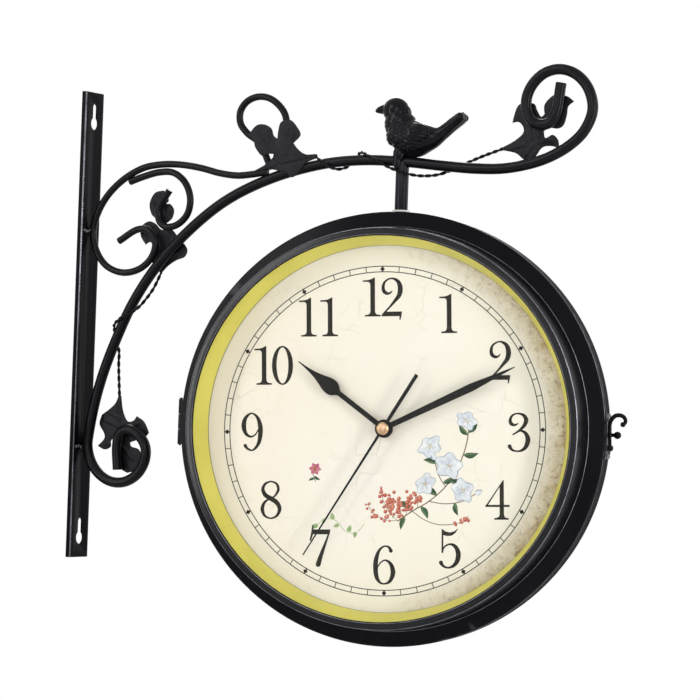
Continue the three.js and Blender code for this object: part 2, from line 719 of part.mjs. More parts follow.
function knuckle(middleZ) {
  return rod(hingeKnuckleRadius, middleZ - knuckleHeight / 2, middleZ + knuckleHeight / 2, 'z', hingePlace);
}

// The web that joins a knuckle to its leaf
function knuckleWeb(middleZ, towardsY) {
  const from = Math.min(seamY, towardsY);
  const to = Math.max(seamY, towardsY);
  const centreX = -(bandRadius + seat + fittingSheet / 2 + hingeWebStandoff);
  return box(fittingSheet, to - from, knuckleHeight, vector(centreX, (from + to) / 2, middleZ));
}

const outerKnuckles = [-(knuckleHeight + seat), knuckleHeight + seat];
const leafGapFromSeam = hingeKnuckleRadius + seat;
const webReach = leafGapFromSeam + fittingSheet;
const hingeLeafRear = joined([
  bandPlate(scallopedShape(seamY + leafGapFromSeam, fittingBackY), -1),
  ...outerKnuckles.map(knuckle),
  ...outerKnuckles.map((z) => knuckleWeb(z, seamY + webReach)),
]).subtract(hingeBore);
const hingeLeafFront = joined([
  bandPlate(scallopedShape(fittingFrontY, seamY - leafGapFromSeam), -1),
  knuckle(0),
  knuckleWeb(0, seamY - webReach),
]).subtract(hingeBore);
const pinHeadZ = fittingHeight / 2 + seat;
const hingePin = joined([
  rod(hingePinRadius, -fittingHeight / 2 - pinHeadHeight, pinHeadZ + pinHeadHeight / 2, 'z', hingePlace, 12),
  rod(hingePinHeadRadius, pinHeadZ, pinHeadZ + pinHeadHeight, 'z', hingePlace, 12),
]);

// Latch on the +X side: hook plate and pivot on the door, stud plate on the rear half
const latchPlateOutside = bandRadius + seat + fittingSheet;
const latchPivotY = (fittingFrontY + seamY - latchSeamGap) / 2;
const studY = fittingBackY - studInset;
const latchReach = Math.hypot(studY - latchPivotY, studZ - latchPivotZ);
const closedHookAngle = Math.atan2(studZ - latchPivotZ, studY - latchPivotY);
const hookX = latchPlateOutside + hookWireRadius + seat + hookStandoff;
const pivotHeadX = hookX + hookWireRadius + seat;

const latchPivotAt = vector(0, latchPivotY, latchPivotZ);
const plateMiddleX = latchPlateOutside - fittingSheet / 2;
const latchPivot = joined([
  rod(latchPivotRadius, plateMiddleX, pivotHeadX + pinHeadHeight / 2, 'x', latchPivotAt, 12),
  rod(latchPivotHeadRadius, pivotHeadX, pivotHeadX + pinHeadHeight, 'x', latchPivotAt, 12),
]);
const pivotHole = rod(
  latchPivotRadius + seat, bandRadius, latchPlateOutside + fittingSheet, 'x', latchPivotAt, 12,
);
const latchHookPlate = bandPlate(scallopedShape(fittingFrontY, seamY - latchSeamGap), 1).subtract(pivotHole);
const studAt = vector(0, studY, studZ);
const studKnobX = latchPlateOutside + studNeckLength + studKnobRadius * 0.7;
const latchStud = joined([
  bandPlate(scallopedShape(seamY + latchSeamGap, fittingBackY), 1),
  rod(studNeckRadius, plateMiddleX, studKnobX, 'x', studAt, 12),
  ball(vector(studKnobX, studY, studZ), studKnobRadius, 12, 8),
]);

// The hook in its own plane: u runs from pivot to stud when it is closed, v away from the stud's way in
const hookClearance = studNeckRadius + hookWireRadius + seat;
const hookPath = [
  [0, 0], [6, 1.4], [latchReach - 6, hookClearance + 0.4], [latchReach, hookClearance],
  [latchReach + hookClearance * 0.8, hookClearance * 0.55],
  [latchReach + hookClearance, -hookClearance * 0.5],
];
const thumbOffset = hookClearance + 0.4;
// The thumb curl leans out from the case: [along the hook past the stud, out from the hook's plane]
const thumbPath = [
  [-6, 0], [thumbCurl * 0.25, 0.2], [thumbCurl * 0.62, 1.6], [thumbCurl * 0.92, 4.4], [thumbCurl, 7.6],
  [thumbCurl * 0.9, 10.8], [thumbCurl * 0.64, 12.8], [thumbCurl * 0.35, 12.7], [thumbCurl * 0.2, 10.9],
].map(([past, out]) => [latchReach + past, thumbOffset, out]);
const hookRestAngle = closedHookAngle + radians(hookRaisedDegrees);

function hookPoint([u, v, out = 0]) {
  const y = latchPivotY + u * Math.cos(hookRestAngle) - v * Math.sin(hookRestAngle);
  const z = latchPivotZ + u * Math.sin(hookRestAngle) + v * Math.cos(hookRestAngle);
  return vector(hookX + out, y, z);
}

const hookCurve = (path) => new BentCurve(path.map(hookPoint));
const hookBore = rod(
  latchPivotRadius + runningGap / 2, bandRadius, hookX + hookWireRadius * 2, 'x', latchPivotAt, 12,
);
const thumbEnd = hookPoint(thumbPath[thumbPath.length - 1]);
const latchHook = joined([
  bentRod(hookCurve(hookPath), hookWireRadius, 6, 12),
  bentRod(hookCurve(thumbPath), thumbRadius, 6, 11),
  ball(thumbEnd, thumbEndRadius, 8, 6),
  rod(latchEyeRadius, hookX - hookWireRadius, hookX + hookWireRadius, 'x', latchPivotAt, 14),
]).subtract(hookBore);

// ---------------------------------------------------------------- one dial side, front at -Y
const lipBackDepth = caseHalfDepth - caseWall;
const glassFrontDepth = lipBackDepth - seat;
const glassBackDepth = glassFrontDepth - glassThickness;
const linerFrontDepth = glassBackDepth - seat;
const dialBackDepth = dialDepth - dialThickness;
const retainerFrontDepth = dialBackDepth - seat;
const movementFrontDepth = dialBackDepth - seat;
const movementBackDepth = movementFrontDepth - movementThickness;
const bushTopDepth = dialDepth + bushLength;
const hourHandDepth = bushTopDepth + seat + handThickness;
const minuteHandDepth = hourHandDepth + handSpacing;
const secondHandDepth = minuteHandDepth + handSpacing;

const glassSolid = () => rod(barrelInside(glassFrontDepth) - seat * 2, -glassFrontDepth, -glassBackDepth, 'y',
  origin, caseSegments);

// Coved ring from the glass down to the dial
function linerSolid() {
  const rimRadius = barrelInside(linerFrontDepth) - seat * 2;
  const mouthRadius = lipInnerRadius + linerSetback;
  const footDepth = dialDepth + seat;
  const cove = linerFrontDepth - footDepth;
  return turned([
    [rimRadius, -linerFrontDepth],
    [mouthRadius, -linerFrontDepth],
    [dialVisibleRadius + (mouthRadius - dialVisibleRadius) * 0.45, -footDepth - cove * 0.55],
    [dialVisibleRadius + (mouthRadius - dialVisibleRadius) * 0.12, -footDepth - cove * 0.2],
    [dialVisibleRadius, -footDepth],
    [dialVisibleRadius + linerWall, -footDepth],
    [dialVisibleRadius + (mouthRadius - dialVisibleRadius) * 0.45 + linerWall, -footDepth - cove * 0.5],
    [mouthRadius + linerWall, -linerFrontDepth + linerWall],
    [rimRadius, -linerFrontDepth + linerWall],
  ]);
}

function dialSolid() {
  const disc = rod(barrelInside(dialDepth) - seat * 2, -dialDepth, -dialBackDepth, 'y', origin, caseSegments);
  return disc.subtract(rod(bushRadius + seat, -dialDepth - caseWall, -dialBackDepth + caseWall, 'y'));
}

function retainerSolid() {
  const outer = barrelInside(retainerFrontDepth) - seat;
  const back = retainerFrontDepth - retainerThickness;
  return turned([
    [outer - retainerWidth, -retainerFrontDepth], [outer, -retainerFrontDepth],
    [outer, -back], [outer - retainerWidth, -back],
  ]);
}

function roundedSquare(width, corner) {
  const half = width / 2;
  const shape = new THREE.Shape();
  [[1, 1, 0], [-1, 1, 90], [-1, -1, 180], [1, -1, 270]].forEach(([right, up, start]) => {
    const [x, z] = [right * (half - corner), up * (half - corner)];
    shape.absarc(x, z, corner, radians(start), radians(start + 90));
  });
  shape.closePath();
  return shape;
}

const batteryDepth = movementBackDepth + batteryRadius + seat * 2;
const batteryAt = vector(0, -batteryDepth, -batteryDrop);

function movementSolid() {
  const outline = roundedSquare(movementWidth, movementCorner);
  const block = uprightSheet(outline, movementThickness, -movementFrontDepth);
  const bush = rod(bushRadius, -bushTopDepth, -movementFrontDepth + seat, 'y');
  const bayWidth = (batteryRadius + seat) * 2;
  const bayHeight = batteryDepth + batteryRadius + seat - movementBackDepth;
  const bay = box(batteryLength + batteryRoom, bayHeight * 2, bayWidth,
    vector(0, -movementBackDepth, -batteryDrop));
  const bore = rod(hourPipeRadius + runningGap, -bushTopDepth - seat, -movementFrontDepth + boreDepth, 'y');
  return block.add(bush).subtract(bay).subtract(bore);
}

const nutBackY = -dialDepth - seat;
const nutFrontY = nutBackY - bushNutThickness;
const bushNutSolid = () => rod(bushNutAcrossFlats / Math.sqrt(3), nutFrontY, nutBackY, 'y', origin, 6)
  .subtract(rod(bushRadius + seat, nutFrontY - seat, nutBackY + seat, 'y'));

function batterySolid() {
  const half = batteryLength / 2;
  return joined([
    rod(batteryRadius, -half, half - batteryNubHeight, 'x', batteryAt),
    rod(batteryNubRadius, 0, half, 'x', batteryAt, 12),
  ]);
}

const knobFrontDepth = movementBackDepth - seat;
function setKnobSolid() {
  const grip = rod(knobRadius, -knobFrontDepth, -knobFrontDepth + knobHeight, 'y');
  const notches = [];
  const notchFrom = -knobFrontDepth - seat;
  const notchTo = -knobFrontDepth + knobHeight + seat;
  const ring = knobRadius + knobNotchRadius / 2;
  for (let i = 0; i < knobNotches; i += 1) {
    const turn = (i / knobNotches) * Math.PI * 2;
    const at = vector(ring * Math.cos(turn), 0, ring * Math.sin(turn));
    notches.push(rod(knobNotchRadius, notchFrom, notchTo, 'y', at, 6));
  }
  return grip.subtract(joined(notches));
}

// Hand outlines point up (+Z) and are turned clockwise to their hour
function hourHandShape() {
  const shaft = hourShaftWidth / 2;
  const bulb = hourSpadeWidth / 2;
  const bulbZ = hourHandLength * 0.62;
  const shape = new THREE.Shape();
  shape.moveTo(-shaft, 0);
  shape.lineTo(-shaft, bulbZ - bulb * 1.5);
  shape.bezierCurveTo(-shaft, bulbZ - bulb, -bulb, bulbZ - bulb, -bulb, bulbZ);
  shape.bezierCurveTo(-bulb, bulbZ + bulb * 1.1, -1.2, bulbZ + bulb * 1.6, 0, hourHandLength);
  shape.bezierCurveTo(1.2, bulbZ + bulb * 1.6, bulb, bulbZ + bulb * 1.1, bulb, bulbZ);
  shape.bezierCurveTo(bulb, bulbZ - bulb, shaft, bulbZ - bulb, shaft, bulbZ - bulb * 1.5);
  shape.lineTo(shaft, 0);
  shape.closePath();
  return shape;
}

function minuteHandShape() {
  const root = minuteRootWidth / 2;
  const lance = minuteLanceWidth / 2;
  const lanceZ = minuteHandLength * 0.67;
  const shape = new THREE.Shape();
  shape.moveTo(-root, 0);
  shape.lineTo(-lance, lanceZ);
  shape.lineTo(0, minuteHandLength);
  shape.lineTo(lance, lanceZ);
  shape.lineTo(root, 0);
  shape.closePath();
  return shape;
}

function secondHandShape() {
  const root = secondRootWidth / 2;
  const tip = secondTipWidth / 2;
  const tail = secondTailWidth / 2;
  const tailStartZ = -secondTailLength * 0.27;
  const shape = new THREE.Shape();
  shape.moveTo(-root, 0);
  shape.lineTo(-tip, secondHandLength);
  shape.lineTo(tip, secondHandLength);
  shape.lineTo(root, 0);
  shape.lineTo(tail, tailStartZ);
  shape.lineTo(tail, -secondTailLength);
  shape.lineTo(-tail, -secondTailLength);
  shape.lineTo(-tail, tailStartZ);
  shape.closePath();
  return shape;
}

// Flat hand with its hub, bored for its pipe
function handSolid(shape, hubRadius, depth, boreRadius) {
  const blade = uprightSheet(shape, handThickness, -depth, 5);
  const hub = rod(hubRadius, -depth, -depth + handThickness, 'y', origin, 20);
  return blade.add(hub).subtract(rod(boreRadius, -depth - handThickness, -depth + handThickness * 2, 'y'));
}

function pipeSolid(outer, bore, topDepth) {
  const insideY = -movementFrontDepth + boreDepth / 2;
  const pipe = rod(outer, -topDepth, insideY, 'y', origin, 12);
  return bore > 0 ? pipe.subtract(rod(bore, -topDepth - seat, insideY + seat, 'y', origin, 12)) : pipe;
}

function addDialSide(parent, side) {
  const add = (name, solid, finish) => addPiece(parent, `${side}_${name}`, solid, finish);
  add('liner', linerSolid(), 'yellowPlastic');
  add('glass', glassSolid(), 'glass');
  add('dial', dialSolid(), 'dialPaper');
  add('retainer', retainerSolid(), 'blackPlastic');
  add('movement', movementSolid(), 'blackPlastic');
  add('bush_nut', bushNutSolid(), 'brass');
  add('battery', batterySolid(), 'batteryJacket');
  add('set_knob', setKnobSolid(), 'blackPlastic');
  const hourBore = hourPipeRadius + seat;
  const minuteBore = minutePipeRadius + seat;
  const secondBore = secondArborRadius + seat;
  const hourHand = handSolid(hourHandShape(), hourHubRadius, hourHandDepth, hourBore);
  const minuteHand = handSolid(minuteHandShape(), minuteHubRadius, minuteHandDepth, minuteBore);
  const secondHand = handSolid(secondHandShape(), hubCapRadius * 0.8, secondHandDepth, secondBore);
  const hour = add('hour_hand', hourHand, 'handBlack');
  const minute = add('minute_hand', minuteHand, 'handBlack');
  const second = add('second_hand', secondHand, 'handBlack');
  hour.rotation.y = radians(hourAngle);
  minute.rotation.y = radians(minuteAngle);
  second.rotation.y = radians(secondAngle);
  const hourPipe = pipeSolid(hourPipeRadius, minutePipeRadius + runningGap, hourHandDepth + pipeProud);
  const minutePipe = pipeSolid(minutePipeRadius, secondArborRadius + runningGap, minuteHandDepth + pipeProud);
  add('hour_pipe', hourPipe, 'brass');
  add('minute_pipe', minutePipe, 'brass');
  add('second_arbor', pipeSolid(secondArborRadius, 0, secondHandDepth + seat / 2), 'steel');
  const capBottom = secondHandDepth + seat;
  const cap = turned([
    [0, -capBottom], [hubCapRadius, -capBottom], [hubCapRadius, -capBottom - hubCapHeight * 0.35],
    [hubCapRadius * 0.75, -capBottom - hubCapHeight * 0.85], [0, -capBottom - hubCapHeight],
  ], 24);
  add('hub_cap', cap, 'brass');
}

// ---------------------------------------------------------------- assembly
const clock = new THREE.Group();

const bracket = new THREE.Group();
clock.add(bracket);
addPiece(bracket, 'wall_plate', wallPlateSolid(), 'blackCoat');
addPiece(bracket, 'main_arm', arm, 'blackCoat');
addPiece(bracket, 'upper_scroll', upperScroll, 'blackCoat');
addPiece(bracket, 'inner_spiral', innerSpiral, 'blackCoat');
addPiece(bracket, 'top_loop', topLoop, 'blackCoat');
addPiece(bracket, 'loop_leaf', loopLeaf, 'blackCoat');
addPiece(bracket, 'scroll_leaf', scrollLeaf, 'blackCoat');
addPiece(bracket, 'upper_leaf', upperLeaf, 'blackCoat');
addPiece(bracket, 'lower_leaf', lowerLeaf, 'blackCoat');
addPiece(bracket, 'bottom_leaf', bottomLeaf, 'blackCoat');
addPiece(bracket, 'right_vine', rightVine, 'blackCoat');
addPiece(bracket, 'left_vine', leftVine, 'blackCoat');
addPiece(bracket, 'bird', birdSolid(), 'blackCoat');
addPiece(bracket, 'hanger_tube', hangerTube, 'blackCoat');
addPiece(bracket, 'hanger_washer', hangerWasher, 'whitePlastic');
addPiece(bracket, 'hanger_bolt', hangerBolt, 'steel');
addPiece(bracket, 'inner_washer', innerWasher, 'steel');

const caseGroup = new THREE.Group();
caseGroup.position.set(hangerReach, 0, caseCentreZ);
caseGroup.rotation.z = radians(caseSwivelDegrees);
clock.add(caseGroup);
const rearHalf = new THREE.Group();
rearHalf.rotation.z = Math.PI;
caseGroup.add(rearHalf);

const hangerHole = rod(boltRadius + seat, bandRadius - caseWall * 2, bandRadius + caseWall, 'z');
addPiece(rearHalf, 'rear_case', shellSolid(-rearEdgeY).subtract(hangerHole), 'blackCoat');
addDialSide(rearHalf, 'rear');
addPiece(caseGroup, 'front_case', shellSolid(doorEdgeY), 'blackCoat');
addDialSide(caseGroup, 'front');
addPiece(caseGroup, 'hinge_leaf_rear', hingeLeafRear, 'blackCoat');
addPiece(caseGroup, 'hinge_leaf_front', hingeLeafFront, 'blackCoat');
addPiece(caseGroup, 'hinge_pin', hingePin, 'blackCoat');
addPiece(caseGroup, 'latch_hook_plate', latchHookPlate, 'blackCoat');
addPiece(caseGroup, 'latch_pivot', latchPivot, 'blackCoat');
addPiece(caseGroup, 'latch_stud', latchStud, 'blackCoat');
addPiece(caseGroup, 'latch_hook', latchHook, 'blackCoat');

export default clock;
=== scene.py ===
import json
import math

import bmesh
import bpy
import numpy as np
from mathutils import Matrix, Vector, geometry


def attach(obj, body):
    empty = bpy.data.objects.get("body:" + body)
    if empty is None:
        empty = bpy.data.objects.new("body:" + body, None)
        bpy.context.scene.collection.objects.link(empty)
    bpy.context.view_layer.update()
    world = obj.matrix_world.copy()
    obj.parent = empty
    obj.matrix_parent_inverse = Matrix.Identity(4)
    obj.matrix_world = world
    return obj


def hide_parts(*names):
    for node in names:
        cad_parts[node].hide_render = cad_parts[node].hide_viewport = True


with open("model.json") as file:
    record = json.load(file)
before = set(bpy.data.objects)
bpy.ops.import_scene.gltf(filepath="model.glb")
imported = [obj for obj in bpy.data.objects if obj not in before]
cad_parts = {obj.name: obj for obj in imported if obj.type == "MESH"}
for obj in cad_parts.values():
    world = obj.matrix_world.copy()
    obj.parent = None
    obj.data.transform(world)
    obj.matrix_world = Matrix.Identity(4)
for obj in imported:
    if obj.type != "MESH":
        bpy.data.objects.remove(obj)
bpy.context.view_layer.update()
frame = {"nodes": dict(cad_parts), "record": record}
scene = bpy.context.scene
scene.view_settings.view_transform = "Standard"

# Places are in millimetres. WORLD brings the bracket's to metres. FRONT and REAR bring the places of
# one side of the case, x to the right, y away from the eye and z up, all from the case's centre.
MM = 0.001
HANGER_X, CASE_Z, SWIVEL = 304.0, -81.5, math.radians(13)
WORLD = Matrix.Scale(MM, 4)
FRONT = WORLD @ Matrix.Translation((HANGER_X, 0, CASE_Z)) @ Matrix.Rotation(SWIVEL, 4, "Z")
REAR = FRONT @ Matrix.Rotation(math.pi, 4, "Z")
SIDES = {"front": (FRONT, "front_door"), "rear": (REAR, "rear_half")}

# ---------------------------------------------------------------- camera
FOCAL_PIXELS, IMAGE_PIXELS = 3491.6, 700
CAMERA_TURN, CAMERA_DISTANCE = math.radians(26), 2.9
CAMERA_YAW, CAMERA_PITCH, CAMERA_ROLL = math.radians(0.7584), math.radians(1.2704), math.radians(2.0)


def make_camera():
    forward = Vector((-math.sin(CAMERA_TURN), math.cos(CAMERA_TURN), 0))
    right = Vector((math.cos(CAMERA_TURN), math.sin(CAMERA_TURN), 0))
    up = Vector((0, 0, 1))
    turn = Matrix.Rotation(CAMERA_YAW, 3, up)
    forward_turned, right = turn @ forward, turn @ right
    lift = Matrix.Rotation(CAMERA_PITCH, 3, right)
    look, up = lift @ forward_turned, lift @ up
    lean = Matrix.Rotation(-CAMERA_ROLL, 3, look)
    right, up = lean @ right, lean @ up
    data = bpy.data.cameras.new("camera")
    data.angle = 2 * math.atan(IMAGE_PIXELS / 2 / FOCAL_PIXELS)
    data.clip_start, data.clip_end = 0.05, 50
    camera = bpy.data.objects.new("camera", data)
    place = Matrix((right, up, -look)).transposed().to_4x4()
    place.translation = Vector((HANGER_X * MM, 0, CASE_Z * MM)) - forward * CAMERA_DISTANCE
    camera.matrix_world = place
    scene.collection.objects.link(camera)
    scene.camera = camera


make_camera()


# ---------------------------------------------------------------- world, floor and lamps
def node_maker(tree):
    """A function that adds a node with settings and puts a value or a link on each socket given."""
    def node(kind, sockets=None, **settings):
        made = tree.nodes.new("ShaderNode" + kind)
        for key, value in settings.items():
            setattr(made, key, value)
        put(made, sockets or {})
        return made

    def put(made, sockets):
        for key, value in sockets.items():
            if isinstance(value, bpy.types.NodeSocket):
                tree.links.new(value, made.inputs[key])
            else:
                made.inputs[key].default_value = value

    return node, put


def make_world():
    """White to the eye, to gloss and through glass; softer light for everything else."""
    world = bpy.data.worlds.new("studio")
    scene.world = world
    world.use_nodes = True
    world.node_tree.nodes.clear()
    node, _ = node_maker(world.node_tree)
    path = node("LightPath")
    seen = path.outputs["Is Camera Ray"]
    for ray in ("Is Glossy Ray", "Is Transmission Ray"):
        seen = node("Math", {0: seen, 1: path.outputs[ray]}, operation="MAXIMUM").outputs[0]
    lit = node("Background", {"Color": (1, 0.99, 0.97, 1), "Strength": 0.39})
    white = node("Background", {"Color": (1, 1, 1, 1)})
    mix = node("MixShader", {0: seen, 1: lit.outputs[0], 2: white.outputs[0]})
    node("OutputWorld", {"Surface": mix.outputs[0]})


def make_floor():
    bpy.ops.mesh.primitive_plane_add(size=6, location=(0.25, 0, -0.62))
    floor = bpy.context.object
    floor.name = "floor"
    material = bpy.data.materials.new("floor")
    material.use_nodes = True
    shader = material.node_tree.nodes["Principled BSDF"]
    shader.inputs["Base Color"].default_value = (0.9, 0.9, 0.9, 1)
    shader.inputs["Roughness"].default_value = 0.9
    floor.data.materials.append(material)


def make_lamp(name, place, aim, power, width, height):
    data = bpy.data.lights.new(name, "AREA")
    data.shape = "RECTANGLE"
    data.size, data.size_y, data.energy = width, height, power
    lamp = bpy.data.objects.new(name, data)
    lamp.location = place
    lamp.rotation_euler = (Vector(aim) - Vector(place)).to_track_quat("-Z", "Y").to_euler()
    scene.collection.objects.link(lamp)


make_world()
make_floor()
CASE_AIM = (0.3, 0, -0.05)
make_lamp("key", (-0.9, -2.0, 1.3), (0.25, 0, -0.05), 13.4, 1.0, 1.0)
make_lamp("strip_left", (-1.3, -1.92, 0.05), CASE_AIM, 11, 0.2, 1.5)
make_lamp("strip_right", (1.9, -0.5, 0.0), CASE_AIM, 15, 0.16, 1.4)
make_lamp("fill_front", (0.9, -2.6, 0.6), CASE_AIM, 11.6, 1.2, 1.2)
make_lamp("back_left", (-0.6, 2.0, 1.2), CASE_AIM, 14, 1.0, 1.0)
make_lamp("back_right", (1.9, 1.2, 0.5), CASE_AIM, 9, 0.4, 1.4)


# ---------------------------------------------------------------- materials
def blank_material(name):
    """A new material with its node function, its socket function and its shader."""
    material = bpy.data.materials.new(name)
    material.use_nodes = True
    node, put = node_maker(material.node_tree)
    return material, node, put, material.node_tree.nodes["Principled BSDF"]


def surface(name, dark, light, patch=40, rough=(0.35, 0.45), metallic=0.0, specular=0.5,
            grain=0.05, grain_size=900, edge_wear_and_highlight=None):
    """A finish whose colour, roughness and height vary with noise; a lighter colour on raised edges stands
    for wear, and on the black coat also for painted highlights.
    """
    material, node, put, shader = blank_material(name)
    place = node("TexCoord").outputs["Object"]

    def noise(scale, detail=4.0):
        return node("TexNoise", {"Scale": scale, "Detail": detail, "Vector": place}).outputs["Fac"]

    ramp = node("ValToRGB", {"Fac": noise(patch)})
    for stop, share, colour in zip(ramp.color_ramp.elements, (0.32, 0.68), (dark, light)):
        stop.position, stop.color = share, (*colour, 1)
    colour = ramp.outputs["Color"]
    if edge_wear_and_highlight:
        raised = node("NewGeometry").outputs["Pointiness"]
        edge = node("MapRange", {"From Min": 0.53, "From Max": 0.62, "Value": raised}).outputs["Result"]
        sockets = {"Factor": edge, "A": colour, "B": (*edge_wear_and_highlight, 1)}
        colour = node("Mix", sockets, data_type="RGBA").outputs["Result"]
    spread = node("MapRange", {"To Min": rough[0], "To Max": rough[1], "Value": noise(patch * 2.7)})
    put(shader, {"Base Color": colour, "Roughness": spread.outputs["Result"], "Metallic": metallic,
                 "Specular IOR Level": specular})
    if grain:
        bump = node("Bump", {"Strength": grain, "Distance": 0.0004, "Height": noise(grain_size, 2.0)})
        put(shader, {"Normal": bump.outputs["Normal"]})
    return material


# The black coat's lighter colour on raised edges is partly edge wear and partly painted highlight on the rims
# of the case and fittings.
BLACK = surface("black_coat", (0.0030, 0.0028, 0.0045), (0.0050, 0.0048, 0.0070), rough=(0.20, 0.28),
                specular=0.065, grain=0.03, edge_wear_and_highlight=(0.05, 0.05, 0.06))
BAND_COAT = surface("band_coat", (0.003, 0.003, 0.004), (0.005, 0.005, 0.006), rough=(0.5, 0.6),
                    specular=0.015, grain=0.03)
LIP_COAT = surface("lip_coat", (0.003, 0.003, 0.004), (0.006, 0.006, 0.008), rough=(0.20, 0.26),
                   specular=0.30, grain=0.02)
# Lighter metal for edges and folds: partly rubbed-through coat, partly painted highlight lines on the
# roundings.
RUBBED_AND_HIGHLIGHT = surface("rubbed_edge_and_painted_highlight", (0.11, 0.11, 0.125), (0.22, 0.22, 0.25), patch=70, rough=(0.22, 0.34),
                 metallic=1.0, grain=0.02)
ROD_BLACK = surface("rod_coat", (0.004, 0.004, 0.0055), (0.007, 0.007, 0.009), patch=60, rough=(0.22, 0.32),
                    specular=0.11, grain=0.06, grain_size=700)
LEAF_BLACK = surface("leaf_coat", (0.007, 0.007, 0.009), (0.013, 0.013, 0.016), patch=90, rough=(0.4, 0.55),
                     specular=0.14, grain=0.16, grain_size=600, edge_wear_and_highlight=(0.035, 0.035, 0.04))
BIRD_COAT = surface("bird_coat", (0.003, 0.003, 0.0045), (0.006, 0.0055, 0.008), patch=200,
                    rough=(0.10, 0.18), specular=0.12, grain=0.02, edge_wear_and_highlight=(0.02, 0.02, 0.025))
PLATE_COAT = surface("plate_coat", (0.0030, 0.0028, 0.0045), (0.0050, 0.0048, 0.0070), rough=(0.26, 0.36),
                     specular=0.03, grain=0.03)
# Bright bare metal on the weld beads, which are coated black like the rest: painted highlight.
WELD_PAINTED_HIGHLIGHT = surface("weld_painted_highlight", (0.09, 0.09, 0.10), (0.20, 0.20, 0.22), patch=400, rough=(0.2, 0.3),
                    metallic=1.0)


# ---------------------------------------------------------------- shape helpers
# A shape is a pair of lists, points in millimetres and faces.
def raw_object(name, shape):
    """An object that isn't a piece yet, with its faces turned outwards."""
    verts, faces = shape
    mesh = bpy.data.meshes.new(name)
    mesh.from_pydata(np.asarray(verts, float).tolist(), [], [list(map(int, f)) for f in faces])
    turned = bmesh.new()
    turned.from_mesh(mesh)
    bmesh.ops.recalc_face_normals(turned, faces=turned.faces)
    turned.to_mesh(mesh)
    turned.free()
    return bpy.data.objects.new(name, mesh)


def finish_piece(thing, material, body, replaces=(), crease=32):
    """Makes the object a piece; edges sharper than the crease angle stay sharp."""
    thing.data.polygons.foreach_set("use_smooth", [True] * len(thing.data.polygons))
    thing.data.set_sharp_from_angle(angle=math.radians(crease))
    if material:
        thing.data.materials.clear()
        thing.data.materials.append(material)
    if thing.name not in scene.collection.objects:
        scene.collection.objects.link(thing)
    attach(thing, body)
    if replaces:
        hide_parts(*replaces)
    return thing


def piece(name, shape, material, body, replaces=(), place=WORLD, crease=32):
    thing = raw_object(name, shape)
    thing.data.transform(place)
    return finish_piece(thing, material, body, replaces, crease)


def merge(shapes):
    """Several shapes as one."""
    verts, faces = [], []
    for points, sides in shapes:
        start = len(verts)
        verts.extend(map(tuple, points))
        faces.extend([tuple(i + start for i in f) for f in sides])
    return verts, faces


def shape_of(thing):
    """The object's mesh as a shape; the object is removed."""
    shape = [tuple(v.co) for v in thing.data.vertices], [tuple(p.vertices) for p in thing.data.polygons]
    bpy.data.objects.remove(thing)
    return shape


def join_doubles(thing):
    joined = bmesh.new()
    joined.from_mesh(thing.data)
    bmesh.ops.remove_doubles(joined, verts=joined.verts, dist=1e-4)
    joined.to_mesh(thing.data)
    joined.free()


def applied(thing, *modifiers):
    """Adds modifiers given as (kind, settings) and puts their result in the mesh."""
    if thing.name not in scene.collection.objects:
        scene.collection.objects.link(thing)
    for kind, settings in modifiers:
        modifier = thing.modifiers.new(kind.lower(), kind)
        for key, value in settings.items():
            setattr(modifier, key, value)
    bpy.context.view_layer.update()
    graph = bpy.context.evaluated_depsgraph_get()
    mesh = bpy.data.meshes.new_from_object(thing.evaluated_get(graph))
    thing.modifiers.clear()
    thing.data = mesh
    return thing


def bevel(width, angle):
    return "BEVEL", {"width": width, "segments": 2, "limit_method": "ANGLE", "angle_limit": angle}


def remeshed(thing, voxel, rounds):
    """The overlapping shapes of the object as one smooth skin."""
    return applied(thing, ("REMESH", {"mode": "VOXEL", "voxel_size": voxel}),
                   ("SMOOTH", {"factor": 0.5, "iterations": rounds}))


def cut_by(thing, shape, operation):
    cutter = raw_object("cutter", shape)
    scene.collection.objects.link(cutter)
    applied(thing, ("BOOLEAN", {"object": cutter, "operation": operation, "solver": "EXACT"}))
    bpy.data.objects.remove(cutter)


def without(thing, shapes):
    """The object with closed shapes taken out of it."""
    for shape in shapes:
        cut_by(thing, shape, "DIFFERENCE")
    return thing


def between(b, c, m1, m2, steps):
    """Points from b on the way to c of a curve that leaves along m1 and arrives along m2."""
    bend, ease = 3 * (c - b) - 2 * m1 - m2, 2 * (b - c) + m1 + m2
    return [b + m1 * t + bend * t ** 2 + ease * t ** 3 for t in (i / steps for i in range(steps))]


def catmull(points, steps=12):
    """Centripetal Catmull-Rom curve through points of any dimension."""
    p = np.array(points, float)
    p = np.vstack([2 * p[0] - p[1], p, 2 * p[-1] - p[-2]])
    out = []
    for a, b, c, d in zip(p, p[1:], p[2:], p[3:]):
        k0, k1, k2 = (math.sqrt(np.linalg.norm(v - u)) for u, v in ((a, b), (b, c), (c, d)))
        m1 = ((b - a) / k0 - (c - a) / (k0 + k1) + (c - b) / k1) * k1
        m2 = ((c - b) / k1 - (d - b) / (k1 + k2) + (d - c) / k2) * k1
        out += between(b, c, m1, m2, steps)
    out.append(p[-2])
    return np.array(out)


def even(path, spacing):
    """The path with points at an even spacing along it."""
    path = np.asarray(path, float)
    run = np.concatenate([[0], np.cumsum(np.linalg.norm(np.diff(path, axis=0), axis=1))])
    wanted = np.linspace(0, run[-1], max(2, round(run[-1] / spacing) + 1))
    return np.stack([np.interp(wanted, run, path[:, k]) for k in range(path.shape[1])], axis=1)


def frames(path):
    """Tangent and two steady cross directions at each point of a 3-D path."""
    tangents = np.gradient(path, axis=0)
    tangents /= np.linalg.norm(tangents, axis=1)[:, None]
    start = np.cross(tangents[0], (0, 1, 0) if abs(tangents[0][1]) < 0.9 else (1, 0, 0))
    normal, normals = start / np.linalg.norm(start), []
    for t in tangents:
        normal = normal - t * np.dot(normal, t)
        normal = normal / np.linalg.norm(normal)
        normals.append(normal)
    normals = np.array(normals)
    return tangents, normals, np.cross(tangents, normals)


